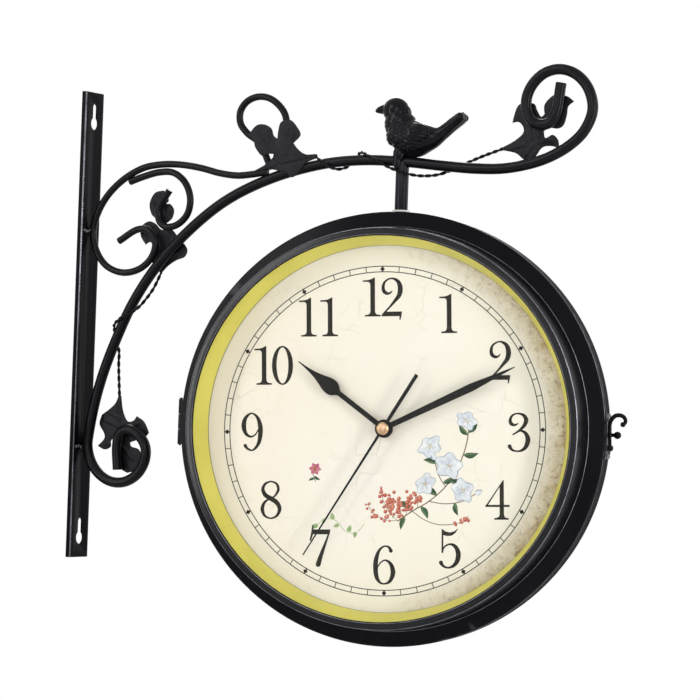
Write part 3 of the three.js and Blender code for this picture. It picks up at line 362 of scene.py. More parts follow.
def ring_faces(rings, around, ends=True):
    """Four-cornered faces between rings of points that follow each other, and both end faces."""
    last = (rings - 1) * around
    faces = [(k + i, k + j, k + around + j, k + around + i) for k in range(0, last, around)
             for i, j in zip(range(around), [*range(1, around), 0])]
    return faces + ([tuple(range(around)), tuple(range(last + around - 1, last - 1, -1))] if ends else [])


def tube(path, radius, sides=20, chamfer=0.4):
    """Round bar along a path with flat cut ends; radius may change along it."""
    path = np.asarray(path, float)
    t, n, b = frames(path)
    radii = np.full(len(path), radius, float) if np.isscalar(radius) else np.asarray(radius, float)
    rings = [(path[0], n[0], b[0], radii[0] - chamfer), (path[0] + t[0] * chamfer, n[0], b[0], radii[0])]
    rings += [(path[i], n[i], b[i], radii[i]) for i in range(1, len(path) - 1)]
    rings += [(path[-1] - t[-1] * chamfer, n[-1], b[-1], radii[-1]),
              (path[-1], n[-1], b[-1], radii[-1] - chamfer)]
    turns = np.linspace(0, 2 * math.pi, sides, endpoint=False)
    verts = [c + r * (u * math.cos(a) + v * math.sin(a)) for c, u, v, r in rings for a in turns]
    return verts, ring_faces(len(rings), sides)


def fillet(profile, radii, steps=4, closed=True):
    """The profile with each corner of a radius above 0 turned into an arc."""
    p = [np.array(q, float) for q in profile]
    out = []
    for i, corner in enumerate(p):
        radius = radii[i] if hasattr(radii, "__len__") else radii
        if radius <= 0 or (not closed and i in (0, len(p) - 1)):
            out.append(corner)
            continue
        back, forth = p[i - 1] - corner, p[(i + 1) % len(p)] - corner
        lb, lf = np.linalg.norm(back), np.linalg.norm(forth)
        back, forth = back / lb, forth / lf
        half = math.acos(max(-1, min(1, float(back @ forth)))) / 2
        cut = min(radius / math.tan(half), lb * 0.49, lf * 0.49)
        start, end = corner + back * cut, corner + forth * cut
        for k in range(steps + 1):
            s = k / steps
            out.append((1 - s) ** 2 * start + 2 * s * (1 - s) * corner + s ** 2 * end)
    return out


def lathe(profile, segments=256, closed=True):
    """A profile of [radius, depth] turned about the dial's axis; depth grows towards the eye.
    An open profile starts and ends on the axis."""
    verts, faces, rings = [], [], []
    for radius, depth in profile:
        if radius < 1e-6:
            rings.append([len(verts)] * segments)
            verts.append((0, -depth, 0))
            continue
        start = len(verts)
        rings.append(list(range(start, start + segments)))
        for k in range(segments):
            a = 2 * math.pi * k / segments
            verts.append((radius * math.cos(a), -depth, radius * math.sin(a)))
    pairs = list(zip(rings, rings[1:])) + ([(rings[-1], rings[0])] if closed else [])
    for a, b in pairs:
        for k in range(segments):
            face = [a[k], a[(k + 1) % segments], b[(k + 1) % segments], b[k]]
            face = [v for i, v in enumerate(face) if v not in face[:i]]
            if len(face) > 2:
                faces.append(tuple(face))
    return verts, faces


def turned_about(axis, profile, centre, segments=32, closed=False):
    """A profile of [radius, place along the axis] turned about a line along x or z through a centre."""
    verts, faces = lathe(profile, segments, closed)
    turned = [(-y, x, z) if axis == "x" else (x, z, -y) for x, y, z in verts]
    return [tuple(np.add(v, centre)) for v in turned], faces


def triangulated(outlines, extra=()):
    """Union of closed 2-D outlines as triangles: points, triangles, and rim edges in order of travel."""
    points, loops = [], []
    for outline in outlines:
        turn = sum(p[0] * q[1] - q[0] * p[1] for p, q in zip(outline, [*outline[1:], outline[0]]))
        loops.append(list(range(len(points), len(points) + len(outline))))
        points.extend(Vector((float(x), float(z))) for x, z in (outline if turn > 0 else outline[::-1]))
    points.extend(Vector((float(x), float(z))) for x, z in extra)
    verts, _, faces, _, _, origins = geometry.delaunay_2d_cdt(points, [], loops, 0, 1e-5, True)
    kept = [f for f, origin in zip(faces, origins) if origin]
    edges = {(f[i], f[(i + 1) % len(f)]): None for f in kept for i in range(len(f))}
    rim = [edge for edge in edges if (edge[1], edge[0]) not in edges]
    return np.array([tuple(v) for v in verts]), kept, rim


def closed_sheet(front, back, faces, rim):
    """A front, a back with the same points in the same order, and the edge between them."""
    n = len(front)
    sides = list(faces) + [tuple(i + n for i in reversed(f)) for f in faces]
    return [*front, *back], sides + [(b, a, a + n, b + n) for a, b in rim]


def sheet_of(outlines, front, back):
    """Flat plate between two depths from the union of outlines drawn in x and z."""
    points, faces, rim = triangulated(outlines)
    return closed_sheet([(x, -front, z) for x, z in points], [(x, -back, z) for x, z in points], faces, rim)


def prism(outline, axis, low, high):
    """Closed outline of two coordinates drawn out along an axis between two places."""
    n = len(outline)
    order = {"x": (2, 0, 1), "y": (0, 2, 1), "z": (0, 1, 2)}[axis]
    verts = [tuple((u, v, w)[k] for k in order) for w in (low, high) for u, v in outline]
    faces = [(i, (i + 1) % n, (i + 1) % n + n, i + n) for i in range(n)]
    return verts, faces + [tuple(range(n - 1, -1, -1)), tuple(range(n, 2 * n))]


def ellipsoid(centre, radii, pitch=0.0, rows=24):
    verts, c, s = [], math.cos(pitch), math.sin(pitch)
    for i in range(rows + 1):
        for k in range(rows * 2):
            a, b = math.pi * i / rows, math.pi * k / rows
            x, y, z = (radii[0] * math.sin(a) * math.cos(b), radii[1] * math.sin(a) * math.sin(b),
                       radii[2] * math.cos(a))
            verts.append((centre[0] + x * c + z * s, centre[1] + y, centre[2] - x * s + z * c))
    return verts, ring_faces(rows + 1, rows * 2, False)


def arc(cx, cy, radius, start, end, steps=16):
    angles = np.radians(np.linspace(start, end, steps))
    return [(cx + radius * math.cos(a), cy + radius * math.sin(a)) for a in angles]


def disc(x, z, radius, steps=20):
    return arc(x, z, radius, 0, 360 - 360 / steps, steps)


def rectangle(x0, x1, z0, z1):
    return [(x0, z0), (x1, z0), (x1, z1), (x0, z1)]


def to_segments(points, starts, ends):
    """Distance of each point to the nearest of the segments, and the share along that segment."""
    along = ends - starts
    length = np.maximum((along ** 2).sum(1), 1e-9)
    share = np.clip(((points[:, None] - starts) * along).sum(2) / length, 0, 1)
    gaps = np.linalg.norm(points[:, None] - (starts + share[..., None] * along), axis=2)
    nearest = gaps.argmin(1)
    rows = np.arange(len(points))
    return gaps[rows, nearest], share[rows, nearest]


# ---------------------------------------------------------------- bracket rods
MAIN_ROD, THIN_ROD, THIN_Y = 4.5, 3.0, -1.5
ARM = [
    (40.5, -125), (39, -104), (41.5, -93.5), (49.5, -90), (60, -94.5), (67, -104), (67, -116), (60, -128),
    (48, -135), (35, -135.5), (23, -130), (14, -120), (9.3, -106), (10.5, -92), (15.3, -67), (22.5, -42),
    (33.5, -14), (50, 20), (72.5, 52), (101, 81), (137.5, 108), (180.5, 127), (228.5, 139), (266, 142.3),
    (304, 141), (340, 137.5), (372, 135), (400, 135.5), (430.5, 142), (453, 153), (467, 166), (473.5, 183),
    (469, 200), (458, 211.5), (444.5, 216), (431, 213.5), (420.5, 205), (415, 194), (415, 183),
    (419.5, 174.5), (427, 171), (435, 172), (440.5, 178), (445, 205)]
UPPER_SCROLL = [
    (178, 132.5), (163, 130.5), (149, 129.5), (132, 131.5), (113, 136), (92, 139), (73, 139), (56, 136),
    (38, 127), (22, 113), (12, 97), (7.8, 81), (12, 64), (23, 51), (40, 45.5), (57, 49.5), (68, 60),
    (70.5, 72), (64, 82), (53, 83),
    (34, 72.5)]
INNER_SPIRAL = [
    (43, 124), (57, 128.7), (72, 132.3), (86, 132), (97.5, 124), (103.5, 110), (101, 96), (91, 87),
    (80, 85.5), (73.5, 91), (73, 101), (83, 117)]
TOP_LOOP = [
    (181, 135), (169, 157), (157, 165.5), (150, 174), (149.5, 184), (155, 192), (165, 196.3), (176, 195.5),
    (186, 189.5), (193, 180), (194, 166), (187, 150), (184, 135)]


def upright(points, y=0.0, spacing=1.6):
    return even(catmull([(x, y, z) for x, z in points]), spacing)


ARM_PATH = upright(ARM, spacing=1.0)
PAST_LOOP = np.arange(len(ARM_PATH)) > 200
ARCH = ARM_PATH[PAST_LOOP & (ARM_PATH[:, 2] > -104)]


def beside_arm(x, turn, distance):
    """Point beside the arch: turn 0 is above it, 90 in front, 180 below and 270 behind."""
    i = int(np.argmax(ARCH[:, 0] >= x))
    share = (x - ARCH[i - 1, 0]) / (ARCH[i, 0] - ARCH[i - 1, 0])
    centre = ARCH[i - 1] + (ARCH[i] - ARCH[i - 1]) * share
    along = ARCH[i] - ARCH[i - 1]
    along /= np.linalg.norm(along)
    up = np.array((-along[2], 0, along[0]))
    turn = math.radians(turn)
    return tuple(centre + distance * (up * math.cos(turn) - np.array((0, 1, 0)) * math.sin(turn)))


for name, node, curve, y, radius, sides in (
        ("arm", "main_arm", ARM, 0.0, MAIN_ROD, 28),
        ("scroll", "upper_scroll", UPPER_SCROLL, THIN_Y, THIN_ROD, 22),
        ("spiral", "inner_spiral", INNER_SPIRAL, THIN_Y, THIN_ROD, 22),
        ("loop", "top_loop", TOP_LOOP, THIN_Y, THIN_ROD, 22)):
    piece(name + "_rod", tube(upright(curve, y), radius, sides), ROD_BLACK, "bracket", [node])

# ---------------------------------------------------------------- vine wires
VINE_PITCH = 12.6
LEAF_FRONT_Y, LEAF_BEHIND_Y, LEAF_BEHIND_THIN_Y, LEAF_SHEET = -6.3, 4.8, 1.8, 1.5
VINE_BACK_Y, VINE_FRONT_Y = LEAF_BEHIND_Y + LEAF_SHEET / 2, LEAF_FRONT_Y + LEAF_SHEET / 2
RIGHT_VINE = [
    (225.2, VINE_FRONT_Y, 145.2), *(beside_arm(*p) for p in (
        (234, 100, 6.6), (243, 170, 6.4), (250, 225, 6.2), (257, 290, 6.2), (264, 350, 6.7), (272, 405, 6.2),
        (281, 450, 6.2), (290, 490, 6.4))), (304, -7.4, 132.5), (320, -4, 129), (334, 3, 130),
    beside_arm(346, 250, 7.6), beside_arm(358, 300, 7.6),
    (374, VINE_BACK_Y, 145.5), (392.5, VINE_BACK_Y, 151.8)]
LEFT_VINE = [
    (73.6, VINE_BACK_Y, 46.6), (66, 4.55, 31), (58, -2, 17), *(beside_arm(*p) for p in (
        (47, 150, 6.5), (43, 90, 6.3), (39, 30, 6.5), (36.5, -20, 6.7), (33, -75, 6.4), (30.5, -130, 6.7))),
    (35.5, 3.55, -34), (36.3, VINE_BACK_Y, -61.5)]


def twisted_pair(points, wire=0.78, offset=0.70, sides=10):
    """Two wires wound round each other along a path."""
    path = even(catmull(points), 0.9)
    _, n, b = frames(path)
    run = np.arange(len(path)) * np.linalg.norm(path[1] - path[0])
    parts = []
    for start in (0, math.pi):
        a = 2 * math.pi * run / VINE_PITCH + start
        strand = path + offset * (n * np.cos(a)[:, None] + b * np.sin(a)[:, None])
        parts.append(tube(strand, wire, sides, 0.2))
    return merge(parts)


for name, points in (("right_vine", RIGHT_VINE), ("left_vine", LEFT_VINE)):
    piece(name + "_wires", twisted_pair(points), ROD_BLACK, "bracket", [name])

# ---------------------------------------------------------------- leaves
# Each leaf: its front's y, the runs of its outline and its veins, from root to tip.
LEAVES = {
    "loop_leaf": (LEAF_FRONT_Y, [
        [(159.5, 163), (165, 159), (167, 153), (173.5, 146), (180, 147.5), (186.5, 147)],
        [(178, 139), (163, 131.5)], [(180, 134.5), (197.5, 131.5)],
        [(203.5, 127.5), (209.5, 132), (216, 139.5), (226, 143.5)],
        [(226, 147), (215.5, 147), (208.5, 151), (203.5, 156.5)],
        [(210, 163), (207, 169.5), (200, 176), (191, 174.5), (188.5, 167), (188, 160.5)],
        [(184.5, 163), (182, 169), (175, 172.5), (167, 171.5), (159.5, 163)]],
        [((193, 140), (198, 168)), ((190, 141), (172, 165)), ((186, 138), (170, 134)),
         ((196, 141), (220, 145.5)), ((197, 147), (204, 165)), ((188, 147), (178, 167))]),
    "scroll_leaf": (LEAF_BEHIND_Y, [
        [(392, 153), (402, 158), (409.5, 164), (410, 169), (406, 173.5), (400, 173)],
        [(401.5, 180), (404.5, 187), (410, 189.5), (419, 188.5), (422, 183), (425.5, 178), (428.5, 180)],
        [(428, 187), (432, 192.5), (438, 196), (448, 194.5), (454.5, 190)],
        [(449.5, 186), (448.5, 179), (446, 171), (441, 168), (434, 168.5), (428.5, 166)],
        [(430, 160.5), (436.5, 163), (441.5, 158.5), (442.5, 151.5)],
        [(437, 153.5), (430, 153.5), (426, 151), (422.5, 146), (418, 142), (411, 143), (404, 148),
         (392, 150.5)]],
        [((414, 158), (404, 178)), ((418, 160), (413, 184)), ((424, 162), (441, 189)),
         ((412, 155), (398, 151.5)), ((420, 155), (413, 146)), ((424, 157), (438, 157))]),
    "upper_leaf": (LEAF_BEHIND_THIN_Y, [
        [(75, 117), (66, 115), (61, 106), (63, 97), (68, 92.5), (76, 88), (79, 89)],
        [(84, 93), (85.5, 100), (82, 105), (77.5, 105.5)], [(80, 109), (75, 117)]],
        [((75, 92), (66, 108)), ((77, 94), (83, 99)), ((75, 96), (73, 113))]),
    "lower_leaf": (LEAF_BEHIND_Y, [
        [(74, 46), (80, 52), (88, 57), (96, 60), (98.5, 66), (95, 71.5)],
        [(90, 72), (87, 79), (81, 84), (72, 83.5), (66, 88.5), (59, 90.5), (52, 86), (51.5, 78), (57, 70)],
        [(61, 72.5), (65.5, 68.5), (62.5, 61), (65, 53), (72, 46.5)]],
        [((72, 56), (57, 82)), ((75, 58), (80, 79)), ((77, 57), (93, 66)), ((70, 62), (66, 82))]),
    "bottom_leaf": (LEAF_BEHIND_Y, [
        [(35, -61), (31, -69), (19, -78)], [(17, -86), (22, -94), (22, -99), (16, -105)],
        [(23, -108), (29, -105.5), (29.5, -100), (33, -98)],
        [(34, -104), (32, -112), (35, -118), (39.5, -124), (46.5, -127.5)], [(56, -124), (61, -112)],
        [(57, -106.5), (50, -104.5), (48.5, -101)], [(55, -99), (62, -97.5), (67, -92)],
        [(62, -83), (54, -78)], [(51, -82), (45, -82.5), (40, -73), (38, -61)]],
        [((36, -66), (38, -96)), ((38, -88), (22, -82)), ((38, -96), (25, -104)), ((40, -90), (58, -84)),
         ((41, -104), (52, -116)), ((38, -80), (26, -76))]),
}


def leaf_outline(runs, steps=7):
    """Smooth runs that meet in points, as one closed outline."""
    out, last = [], None
    for run in runs:
        p = [np.array(q, float) for q in (run if last is None else [last, *run])]
        for i in range(len(p) - 1):
            a, b, c, d = p[max(i - 1, 0)], p[i], p[i + 1], p[min(i + 2, len(p) - 1)]
            v0, v1 = (c - a) / 2, (d - b) / 2
            out += between(b, c, v0, v1, steps)
        last = tuple(p[-1])
    out.append(np.array(last))
    return np.array([q for q, r in zip(out, [out[-1], *out]) if np.linalg.norm(q - r) > 0.05])


RIM_DOME, VEIN_LIFT, FURROW, STAMPING = 0.55, 0.85, 0.22, 1.05


def leaf(front_y, runs, veins, rim=0.35, cell=1.1):
    """Stamped leaf: domed lobes with raised veins and a rounded rim; the back follows the front."""
    outer = leaf_outline(runs)
    steps = np.roll(outer, -1, 0) - np.roll(outer, 1, 0)
    area = np.sum(outer[:, 0] * np.roll(outer[:, 1], -1) - np.roll(outer[:, 0], -1) * outer[:, 1])
    inward = np.stack([-steps[:, 1], steps[:, 0]], 1) * (1 if area > 0 else -1)
    inward /= np.maximum(np.linalg.norm(inward, axis=1), 1e-9)[:, None]
    inner = outer + inward * rim
    low, high = outer.min(0), outer.max(0)
    rows = enumerate(np.arange(low[1], high[1], cell * 0.87))
    grid = np.array([(x + (cell / 2 if j % 2 else 0), z) for j, z in rows
                     for x in np.arange(low[0], high[0], cell)])
    grid = grid[to_segments(grid, inner, np.roll(inner, -1, 0))[0] > cell * 0.55]
    points, faces, edge = triangulated([inner], grid)
    used = sorted({i for f in faces for i in f})
    order = {old: new for new, old in enumerate(used)}
    points, faces = points[used], [tuple(order[i] for i in f) for f in faces]
    edge = [(order[a], order[b]) for a, b in edge]
    gap, _ = to_segments(points, outer, np.roll(outer, -1, 0))
    off, share = to_segments(points, *(np.array([v[k] for v in veins], float) for k in (0, 1)))
    ridge = VEIN_LIFT * np.exp(-(off / (1.15 - 0.45 * share)) ** 2) * np.clip(gap / 1.2, 0, 1)
    front = front_y + RIM_DOME * np.exp(-gap / 3.5) + FURROW * np.exp(-((off - 2.6) / 0.9) ** 2) - ridge
    back = front + STAMPING + 0.35 * ridge
    n = len(points)
    verts, sides = closed_sheet([(x, y, z) for (x, z), y in zip(points, front)],
                                [(x, y, z) for (x, z), y in zip(points, back)], faces, ())
    rim_of = {}
    for i in {i for e in edge for i in e}:
        j = int(np.argmin(np.linalg.norm(inner - points[i], axis=1)))
        rim_of[i] = len(verts)
        verts.append((outer[j][0], (front[i] + back[i]) / 2, outer[j][1]))
    for a, b in edge:
        sides += [(b, a, rim_of[a], rim_of[b]), (rim_of[b], rim_of[a], a + n, b + n)]
    return verts, sides


for name, (front_y, runs, veins) in LEAVES.items():
    piece(name + "_stamping", leaf(front_y, runs, veins), LEAF_BLACK, "bracket", [name], crease=60)

# ---------------------------------------------------------------- bird
# The body's sections: x, lowest z, highest z and half the width.
BIRD_RINGS = [
    (290, 164, 174, 3.5), (292.5, 158, 178, 7.5), (297, 151.5, 181, 11), (303, 147, 180, 13),
    (311, 144.5, 177, 13.5), (320, 145, 173.5, 12.5), (328, 149, 171, 10.5), (335, 153, 169.5, 8),
    (342, 159, 173, 7), (350, 166, 178.5, 7.5), (357, 171.5, 182, 8),
    (360.5, 175, 179, 7)]


def skin(rings, sides=48):
    rings, verts = catmull(rings, 6), []
    for x, low, high, half in rings:
        for i in range(sides):
            a = 2 * math.pi * i / sides
            verts.append((x, half * math.sin(a), (high + low) / 2 + (high - low) / 2 * math.cos(a)))
    return verts, ring_faces(len(rings), sides)


def plumage(thing):
    """Cuts rows of feathers into the wings, the breast and the tail along the surface."""
    mesh = thing.data
    n = len(mesh.vertices)
    place, outward = np.empty(n * 3), np.empty(n * 3)
    mesh.vertices.foreach_get("co", place)
    mesh.vertices.foreach_get("normal", outward)
    place, outward = place.reshape(-1, 3), outward.reshape(-1, 3)
    x, y, z = place.T
    u, v = x - 295.0, z - (168.5 - 0.10 * (x - 295.0))

    def scales(along, across, long, wide, depth):
        row = np.floor(along / long)
        share = along / long - row
        side = np.abs((across / wide + 0.5 * (row % 2)) % 1.0 - 0.5) * 2
        return depth * ((share - 0.55 * side ** 2) % 1.0 - 0.5)

    wing = np.clip((np.abs(y) - 9.2) / 1.6, 0, 1) * np.clip((u - 1) / 3, 0, 1) * np.clip((43 - u) / 3, 0, 1)
    coverts = scales(u + 0.35 * v, v, 5.2, 4.4, 0.9)
    quills = 0.55 * (np.abs(((v + 0.06 * u) / 3.1) % 1.0 - 0.5) * 2) ** 0.7 - 0.35
    far = np.clip((u - 19) / 4, 0, 1)
    breast = np.clip((300 - x) / 4, 0, 1) * np.clip((177 - z) / 3, 0, 1) * np.clip((x - 284) / 2, 0, 1)
    tail = np.clip((x - 338) / 6, 0, 1) * (1 - np.clip((np.abs(z - 0.42 * (x - 338) - 166) - 7.5) / 1, 0, 1))
    lift = wing * (coverts * (1 - far) + quills * far) + breast * scales(174 - z, y, 3.6, 3.4, 0.55)
    lift += tail * (0.5 * (np.abs((y / 4.4) % 1.0 - 0.5) * 2) ** 0.6 - 0.3)
    mesh.vertices.foreach_set("co", (place + outward * lift[:, None]).ravel())
    mesh.update()


def bird():
    beak = tube(np.array([(290, 0, 184.4), (284.5, 0, 184.6), (280.2, 0, 184.0), (277.2, 0, 182.9)]),
                np.array([5.4, 4.2, 2.9, 1.3]), 24, 0.3)
    head_and_neck = [ellipsoid(*form) for form in (
        ((296.2, 0, 183.6), (11.4, 9.3, 11.0)), ((297.9, 0, 174), (10.6, 10.2, 13.5), 0.25),
        ((304, 0, 173.5), (11.5, 10.5, 9.5), 0.5), ((297.6, 0, 164), (8.2, 9.8, 11.0), 0.3),
        ((301.6, 0, 180.8), (8.0, 8.4, 8.6), 0.6))]
    forms = [skin(BIRD_RINGS), head_and_neck[0], beak, *head_and_neck[1:]]
    for side in (-1, 1):  # wing, thigh and foot
        forms += [ellipsoid((313.5, side * 10.3, 163), (19.5, 4.2, 9.4), -0.12),
                  ellipsoid((302.5, side * 5, 147), (5, 4, 7)),
                  ellipsoid((301.5, side * 6.2, 141), (3.5, 2.3, 7.4))]
    thing = raw_object("bird_casting", merge(forms))
    join_doubles(thing)
    remeshed(thing, 0.55, 9)
    plumage(thing)
    thing.data.transform(WORLD)
    finish_piece(thing, BIRD_COAT, "bracket", ["bird"], crease=80)
    eyes = [ellipsoid((291.0, side * 7.9, 186.2), (1.35, 0.9, 1.35), 0, 12) for side in (-1, 1)]
    piece("bird_eyes", merge(eyes), BIRD_COAT, "bracket", crease=80)


bird()


# ---------------------------------------------------------------- wall plate
def wall_plate():
    """Folded channel with two keyholes; the folds take a lighter metal finish, partly rubbed-through coat and
    partly a painted highlight line.
    """
    half, depth, wall, tall = 15.0, 4.5, 1.2, 202.0
    bulb, slot, slot_rise = 5.5, 3, 14
    outside = [(0, -half), (depth, -half), (depth, half), (0, half)]
    inside = [(0, half - wall), (depth - wall, half - wall), (depth - wall, wall - half), (0, wall - half)]
    profile = fillet(outside + inside, [0.2, 1.5, 1.5, 0.2, 0.2, 0.5, 0.5, 0.2], 5)
    thing = raw_object("wall_plate_channel", prism(profile, "z", -tall, tall))
    neck = math.degrees(math.atan2(math.sqrt(bulb ** 2 - slot ** 2), slot))
    for z in (175, -185):
        keyhole = arc(0, z, bulb, 180 - neck, 360 + neck, 40) + arc(0, z + slot_rise, slot, 0, 180, 16)
        without(thing, [prism(keyhole, "x", -1, 9)])
    applied(thing, bevel(0.22, 0.6))
    thing.data.transform(WORLD)
    thing.data.materials.append(PLATE_COAT)
    thing.data.materials.append(RUBBED_AND_HIGHLIGHT)
    # The folds take the rubbed metal, which is partly painted highlight.
    for face in thing.data.polygons:
        on_fold = min(abs(face.normal.x), abs(face.normal.y)) > 0.3 and face.normal.x > 0
        face.material_index = int(on_fold and abs(face.center.y) > (half - 1.6) * MM)
    finish_piece(thing, None, "bracket", ["wall_plate"], crease=30)


def weld_beads():
    """Small beads where the scroll and the arm's lower loop meet the plate; their bright metal finish is
    painted highlight on coated welds.
    """
    beads = [ellipsoid((5.0, y, z), (size * 0.7, size, size * 0.9), 0.3, 12) for y, z, size in (
        (-11, 81.5, 1.5), (-7.2, 80.6, 1.9), (-2.8, 81.2, 2.1), (2.6, 81, 1.8), (-11.5, -106, 1.5),
        (-7.6, -105.4, 1.9), (-3.4, -106.4, 2.1), (1.8, -106, 2.0), (6, -105.5, 1.6))]
    thing = raw_object("weld_beads", merge(beads))
    join_doubles(thing)
    thing.data.transform(WORLD)
    finish_piece(thing, WELD_PAINTED_HIGHLIGHT, "bracket", crease=80)


wall_plate()
weld_beads()

# ---------------------------------------------------------------- case halves
SEGMENTS = 256
LIP_INNER, LIP_OUTER, STEP_FOOT, BAND, SHEET = 157.7, 164.4, 166.8, 180.0, 2
BOLT_HOLE = 3.3


def shell(name, node, edge, body, place, hole):
    """Pressed half shell: lip, barrel, step and band, with a rolled hem at the seam; the flagged roundings
    take a lighter metal finish, partly rubbed edges and partly painted highlight lines.
    """
    corners = [  # radius, depth, rounding, whether the rounding takes the rubbed metal, which is partly painted highlight
        (LIP_INNER, 53.0, 0.3, 0), (LIP_INNER, 54.3, 0.5, 0), (158.8, 55.0, 0.9, 1),
        (LIP_OUTER, 53.4, 1.6, 1),
        (STEP_FOOT, 17.9, 1.2, 1), (178.8, 14.0, 0.5, 0), (BAND, 12.9, 1.1, 1), (BAND, edge + 1.6, 0.2, 1),
        (BAND - 0.5, edge + 1.3, 0.1, 0), (BAND - 0.5, edge + 1.0, 0.1, 0), (BAND, edge + 0.7, 0.2, 1),
        (BAND, edge, 0.3, 0), (BAND - SHEET, edge, 0.2, 0), (BAND - SHEET, 11.0, 0.5, 0),
        (STEP_FOOT - SHEET, 15.8, 0.8, 0), (LIP_OUTER - SHEET, 52.4, 0.2, 0)]
    flats = {2: LIP_COAT, 6: BAND_COAT, 10: BAND_COAT}  # by the corner before the flat
    steps, finishes = 4, [BLACK, RUBBED_AND_HIGHLIGHT, BAND_COAT, LIP_COAT]
    profile = fillet([c[:2] for c in corners], [c[2] for c in corners], steps)
    thing = raw_object(name, lathe(profile, SEGMENTS))
    for finish in finishes:
        thing.data.materials.append(finish)
    for k, face in enumerate(thing.data.polygons):
        corner, step = divmod(k // SEGMENTS, steps + 1)
        if step in (1, 2) and corners[corner][3]:
            face.material_index = finishes.index(RUBBED_AND_HIGHLIGHT)
        if step == steps and corner in flats:
            face.material_index = finishes.index(flats[corner])
    if hole:
        without(thing, [prism(arc(0, 0, BOLT_HOLE, 0, 352.5, 48), "z", BAND - 4, BAND + 4)])
    thing.data.transform(place)
    finish_piece(thing, None, body, [node], crease=24)


shell("front_case_shell", "front_case", 5.65, "front_door", FRONT, False)
shell("rear_case_shell", "rear_case", -5.35, "rear_half", REAR, True)


# ---------------------------------------------------------------- finishes of the dial side
YELLOW = surface("yellow_plastic", (0.66, 0.60, 0.085), (0.74, 0.68, 0.11), patch=25, rough=(0.32, 0.42),
                 grain=0.03)
# Darker olive painted at the cove's foot by the card, as shade.
OLIVE_PAINTED_SHADE = surface("ring_foot_painted_shade", (0.16, 0.15, 0.035), (0.24, 0.22, 0.05), patch=60, rough=(0.4, 0.5), grain=0.03)
CARD_BACK = surface("card_back", (0.60, 0.57, 0.50), (0.68, 0.65, 0.58), patch=30, rough=(0.75, 0.85),
                    specular=0.2, grain=0.10, grain_size=500)
INK = surface("print_ink", (0.014, 0.012, 0.008), (0.024, 0.020, 0.013), patch=220, rough=(0.6, 0.75),
              specular=0.1)
HAND_BLACK = surface("hand_black", (0.004, 0.0035, 0.003), (0.008, 0.007, 0.006), patch=120,
                     rough=(0.42, 0.55), specular=0.08, grain=0.05)
BRASS = surface("brass", (0.50, 0.31, 0.18), (0.66, 0.45, 0.29), patch=500, rough=(0.24, 0.38), metallic=1.0,
                grain=0.08, grain_size=1500)
BLACK_PLASTIC = surface("black_plastic", (0.012, 0.012, 0.013), (0.022, 0.022, 0.024), patch=150,
                        rough=(0.5, 0.65), specular=0.35, grain=0.25, grain_size=1800)
STEEL = surface("steel", (0.42, 0.42, 0.43), (0.60, 0.60, 0.62), patch=300, rough=(0.28, 0.42), metallic=1.0,
                grain=0.06, grain_size=1200)
WHITE_PLASTIC = surface("white_plastic", (0.70, 0.70, 0.68), (0.82, 0.82, 0.80), patch=200, rough=(0.4, 0.5),
                        grain=0.05)
JACKET = surface("battery_jacket", (0.05, 0.065, 0.09), (0.09, 0.11, 0.14), patch=80, rough=(0.3, 0.42),
                 grain=0.04)


def dial_paper(name, place):
    """Cream card with faint crackle, soft mottling and an aged stain along one side of the rim.
    Its pattern is laid out in metres from the dial's centre."""
    material, node, put, shader = blank_material(name)
    back = place.to_3x3().normalized().inverted()
    local = node("Mapping", {"Rotation": back.to_euler(), "Location": -(back @ place.translation),
                             "Vector": node("TexCoord").outputs["Object"]}).outputs["Vector"]
    flat = node("VectorMath", {0: local, 1: (1, 0, 1)}, operation="MULTIPLY").outputs["Vector"]
    radius = node("VectorMath", {0: flat}, operation="LENGTH").outputs["Value"]
    across = node("SeparateXYZ", {"Vector": flat}).outputs["X"]

    def noise(scale, detail=5.0, roughness=0.6):
        sockets = {"Scale": scale, "Detail": detail, "Roughness": roughness, "Vector": flat}
        return node("TexNoise", sockets).outputs["Fac"]

    def span(value, low, high, out_low=0.0, out_high=1.0):
        sockets = {"From Min": low, "From Max": high, "To Min": out_low, "To Max": out_high, "Value": value}
        return node("MapRange", sockets).outputs["Result"]

    def product(a, b):
        return node("Math", {0: a, 1: b}, operation="MULTIPLY").outputs[0]

    def tint(base, amount, colour):
        sockets = {"A": base, "Factor": amount, "B": (*colour, 1)}
        return node("Mix", sockets, data_type="RGBA").outputs["Result"]

    drift = node("TexNoise", {"Scale": 60, "Vector": flat}).outputs["Color"]
    wobble = node("VectorMath", {0: drift, "Scale": 0.012}, operation="SCALE").outputs["Vector"]
    moved = node("VectorMath", {0: flat, 1: wobble}).outputs["Vector"]
    crackle = node("TexVoronoi", {"Scale": 48, "Vector": moved}, feature="DISTANCE_TO_EDGE")
    cracks = product(span(crackle.outputs["Distance"], 0.0, 0.035, 1.0, 0.0),
                     span(noise(22), 0.50, 0.66, 0.0, 0.5))
    stain = product(span(radius, 0.133, 0.150), span(across, 0.0, 0.12))
    blots = span(noise(75, 6.0, 0.7), 0.34, 0.62, 0.35, 1.0)
    specks = span(noise(180, 4.0, 0.8), 0.52, 0.60, 0.0, 0.8)

    colour = tint((0.935, 0.89, 0.77, 1), span(noise(9), 0.38, 0.66), (0.95, 0.915, 0.83))
    colour = tint(colour, span(across, 0.02, -0.17, 0.0, 0.38), (0.93, 0.82, 0.70))
    colour = tint(colour, cracks, (0.66, 0.62, 0.50))
    colour = tint(colour, product(stain, blots), (0.47, 0.35, 0.17))
    colour = tint(colour, product(stain, specks), (0.26, 0.18, 0.09))
    bump = node("Bump", {"Strength": 0.05, "Distance": 0.0003, "Height": noise(700, 2.0)})
    put(shader, {"Base Color": colour, "Roughness": span(noise(40), 0.3, 0.7, 0.62, 0.8),
                 "Specular IOR Level": 0.25, "Normal": bump.outputs["Normal"]})
    return material


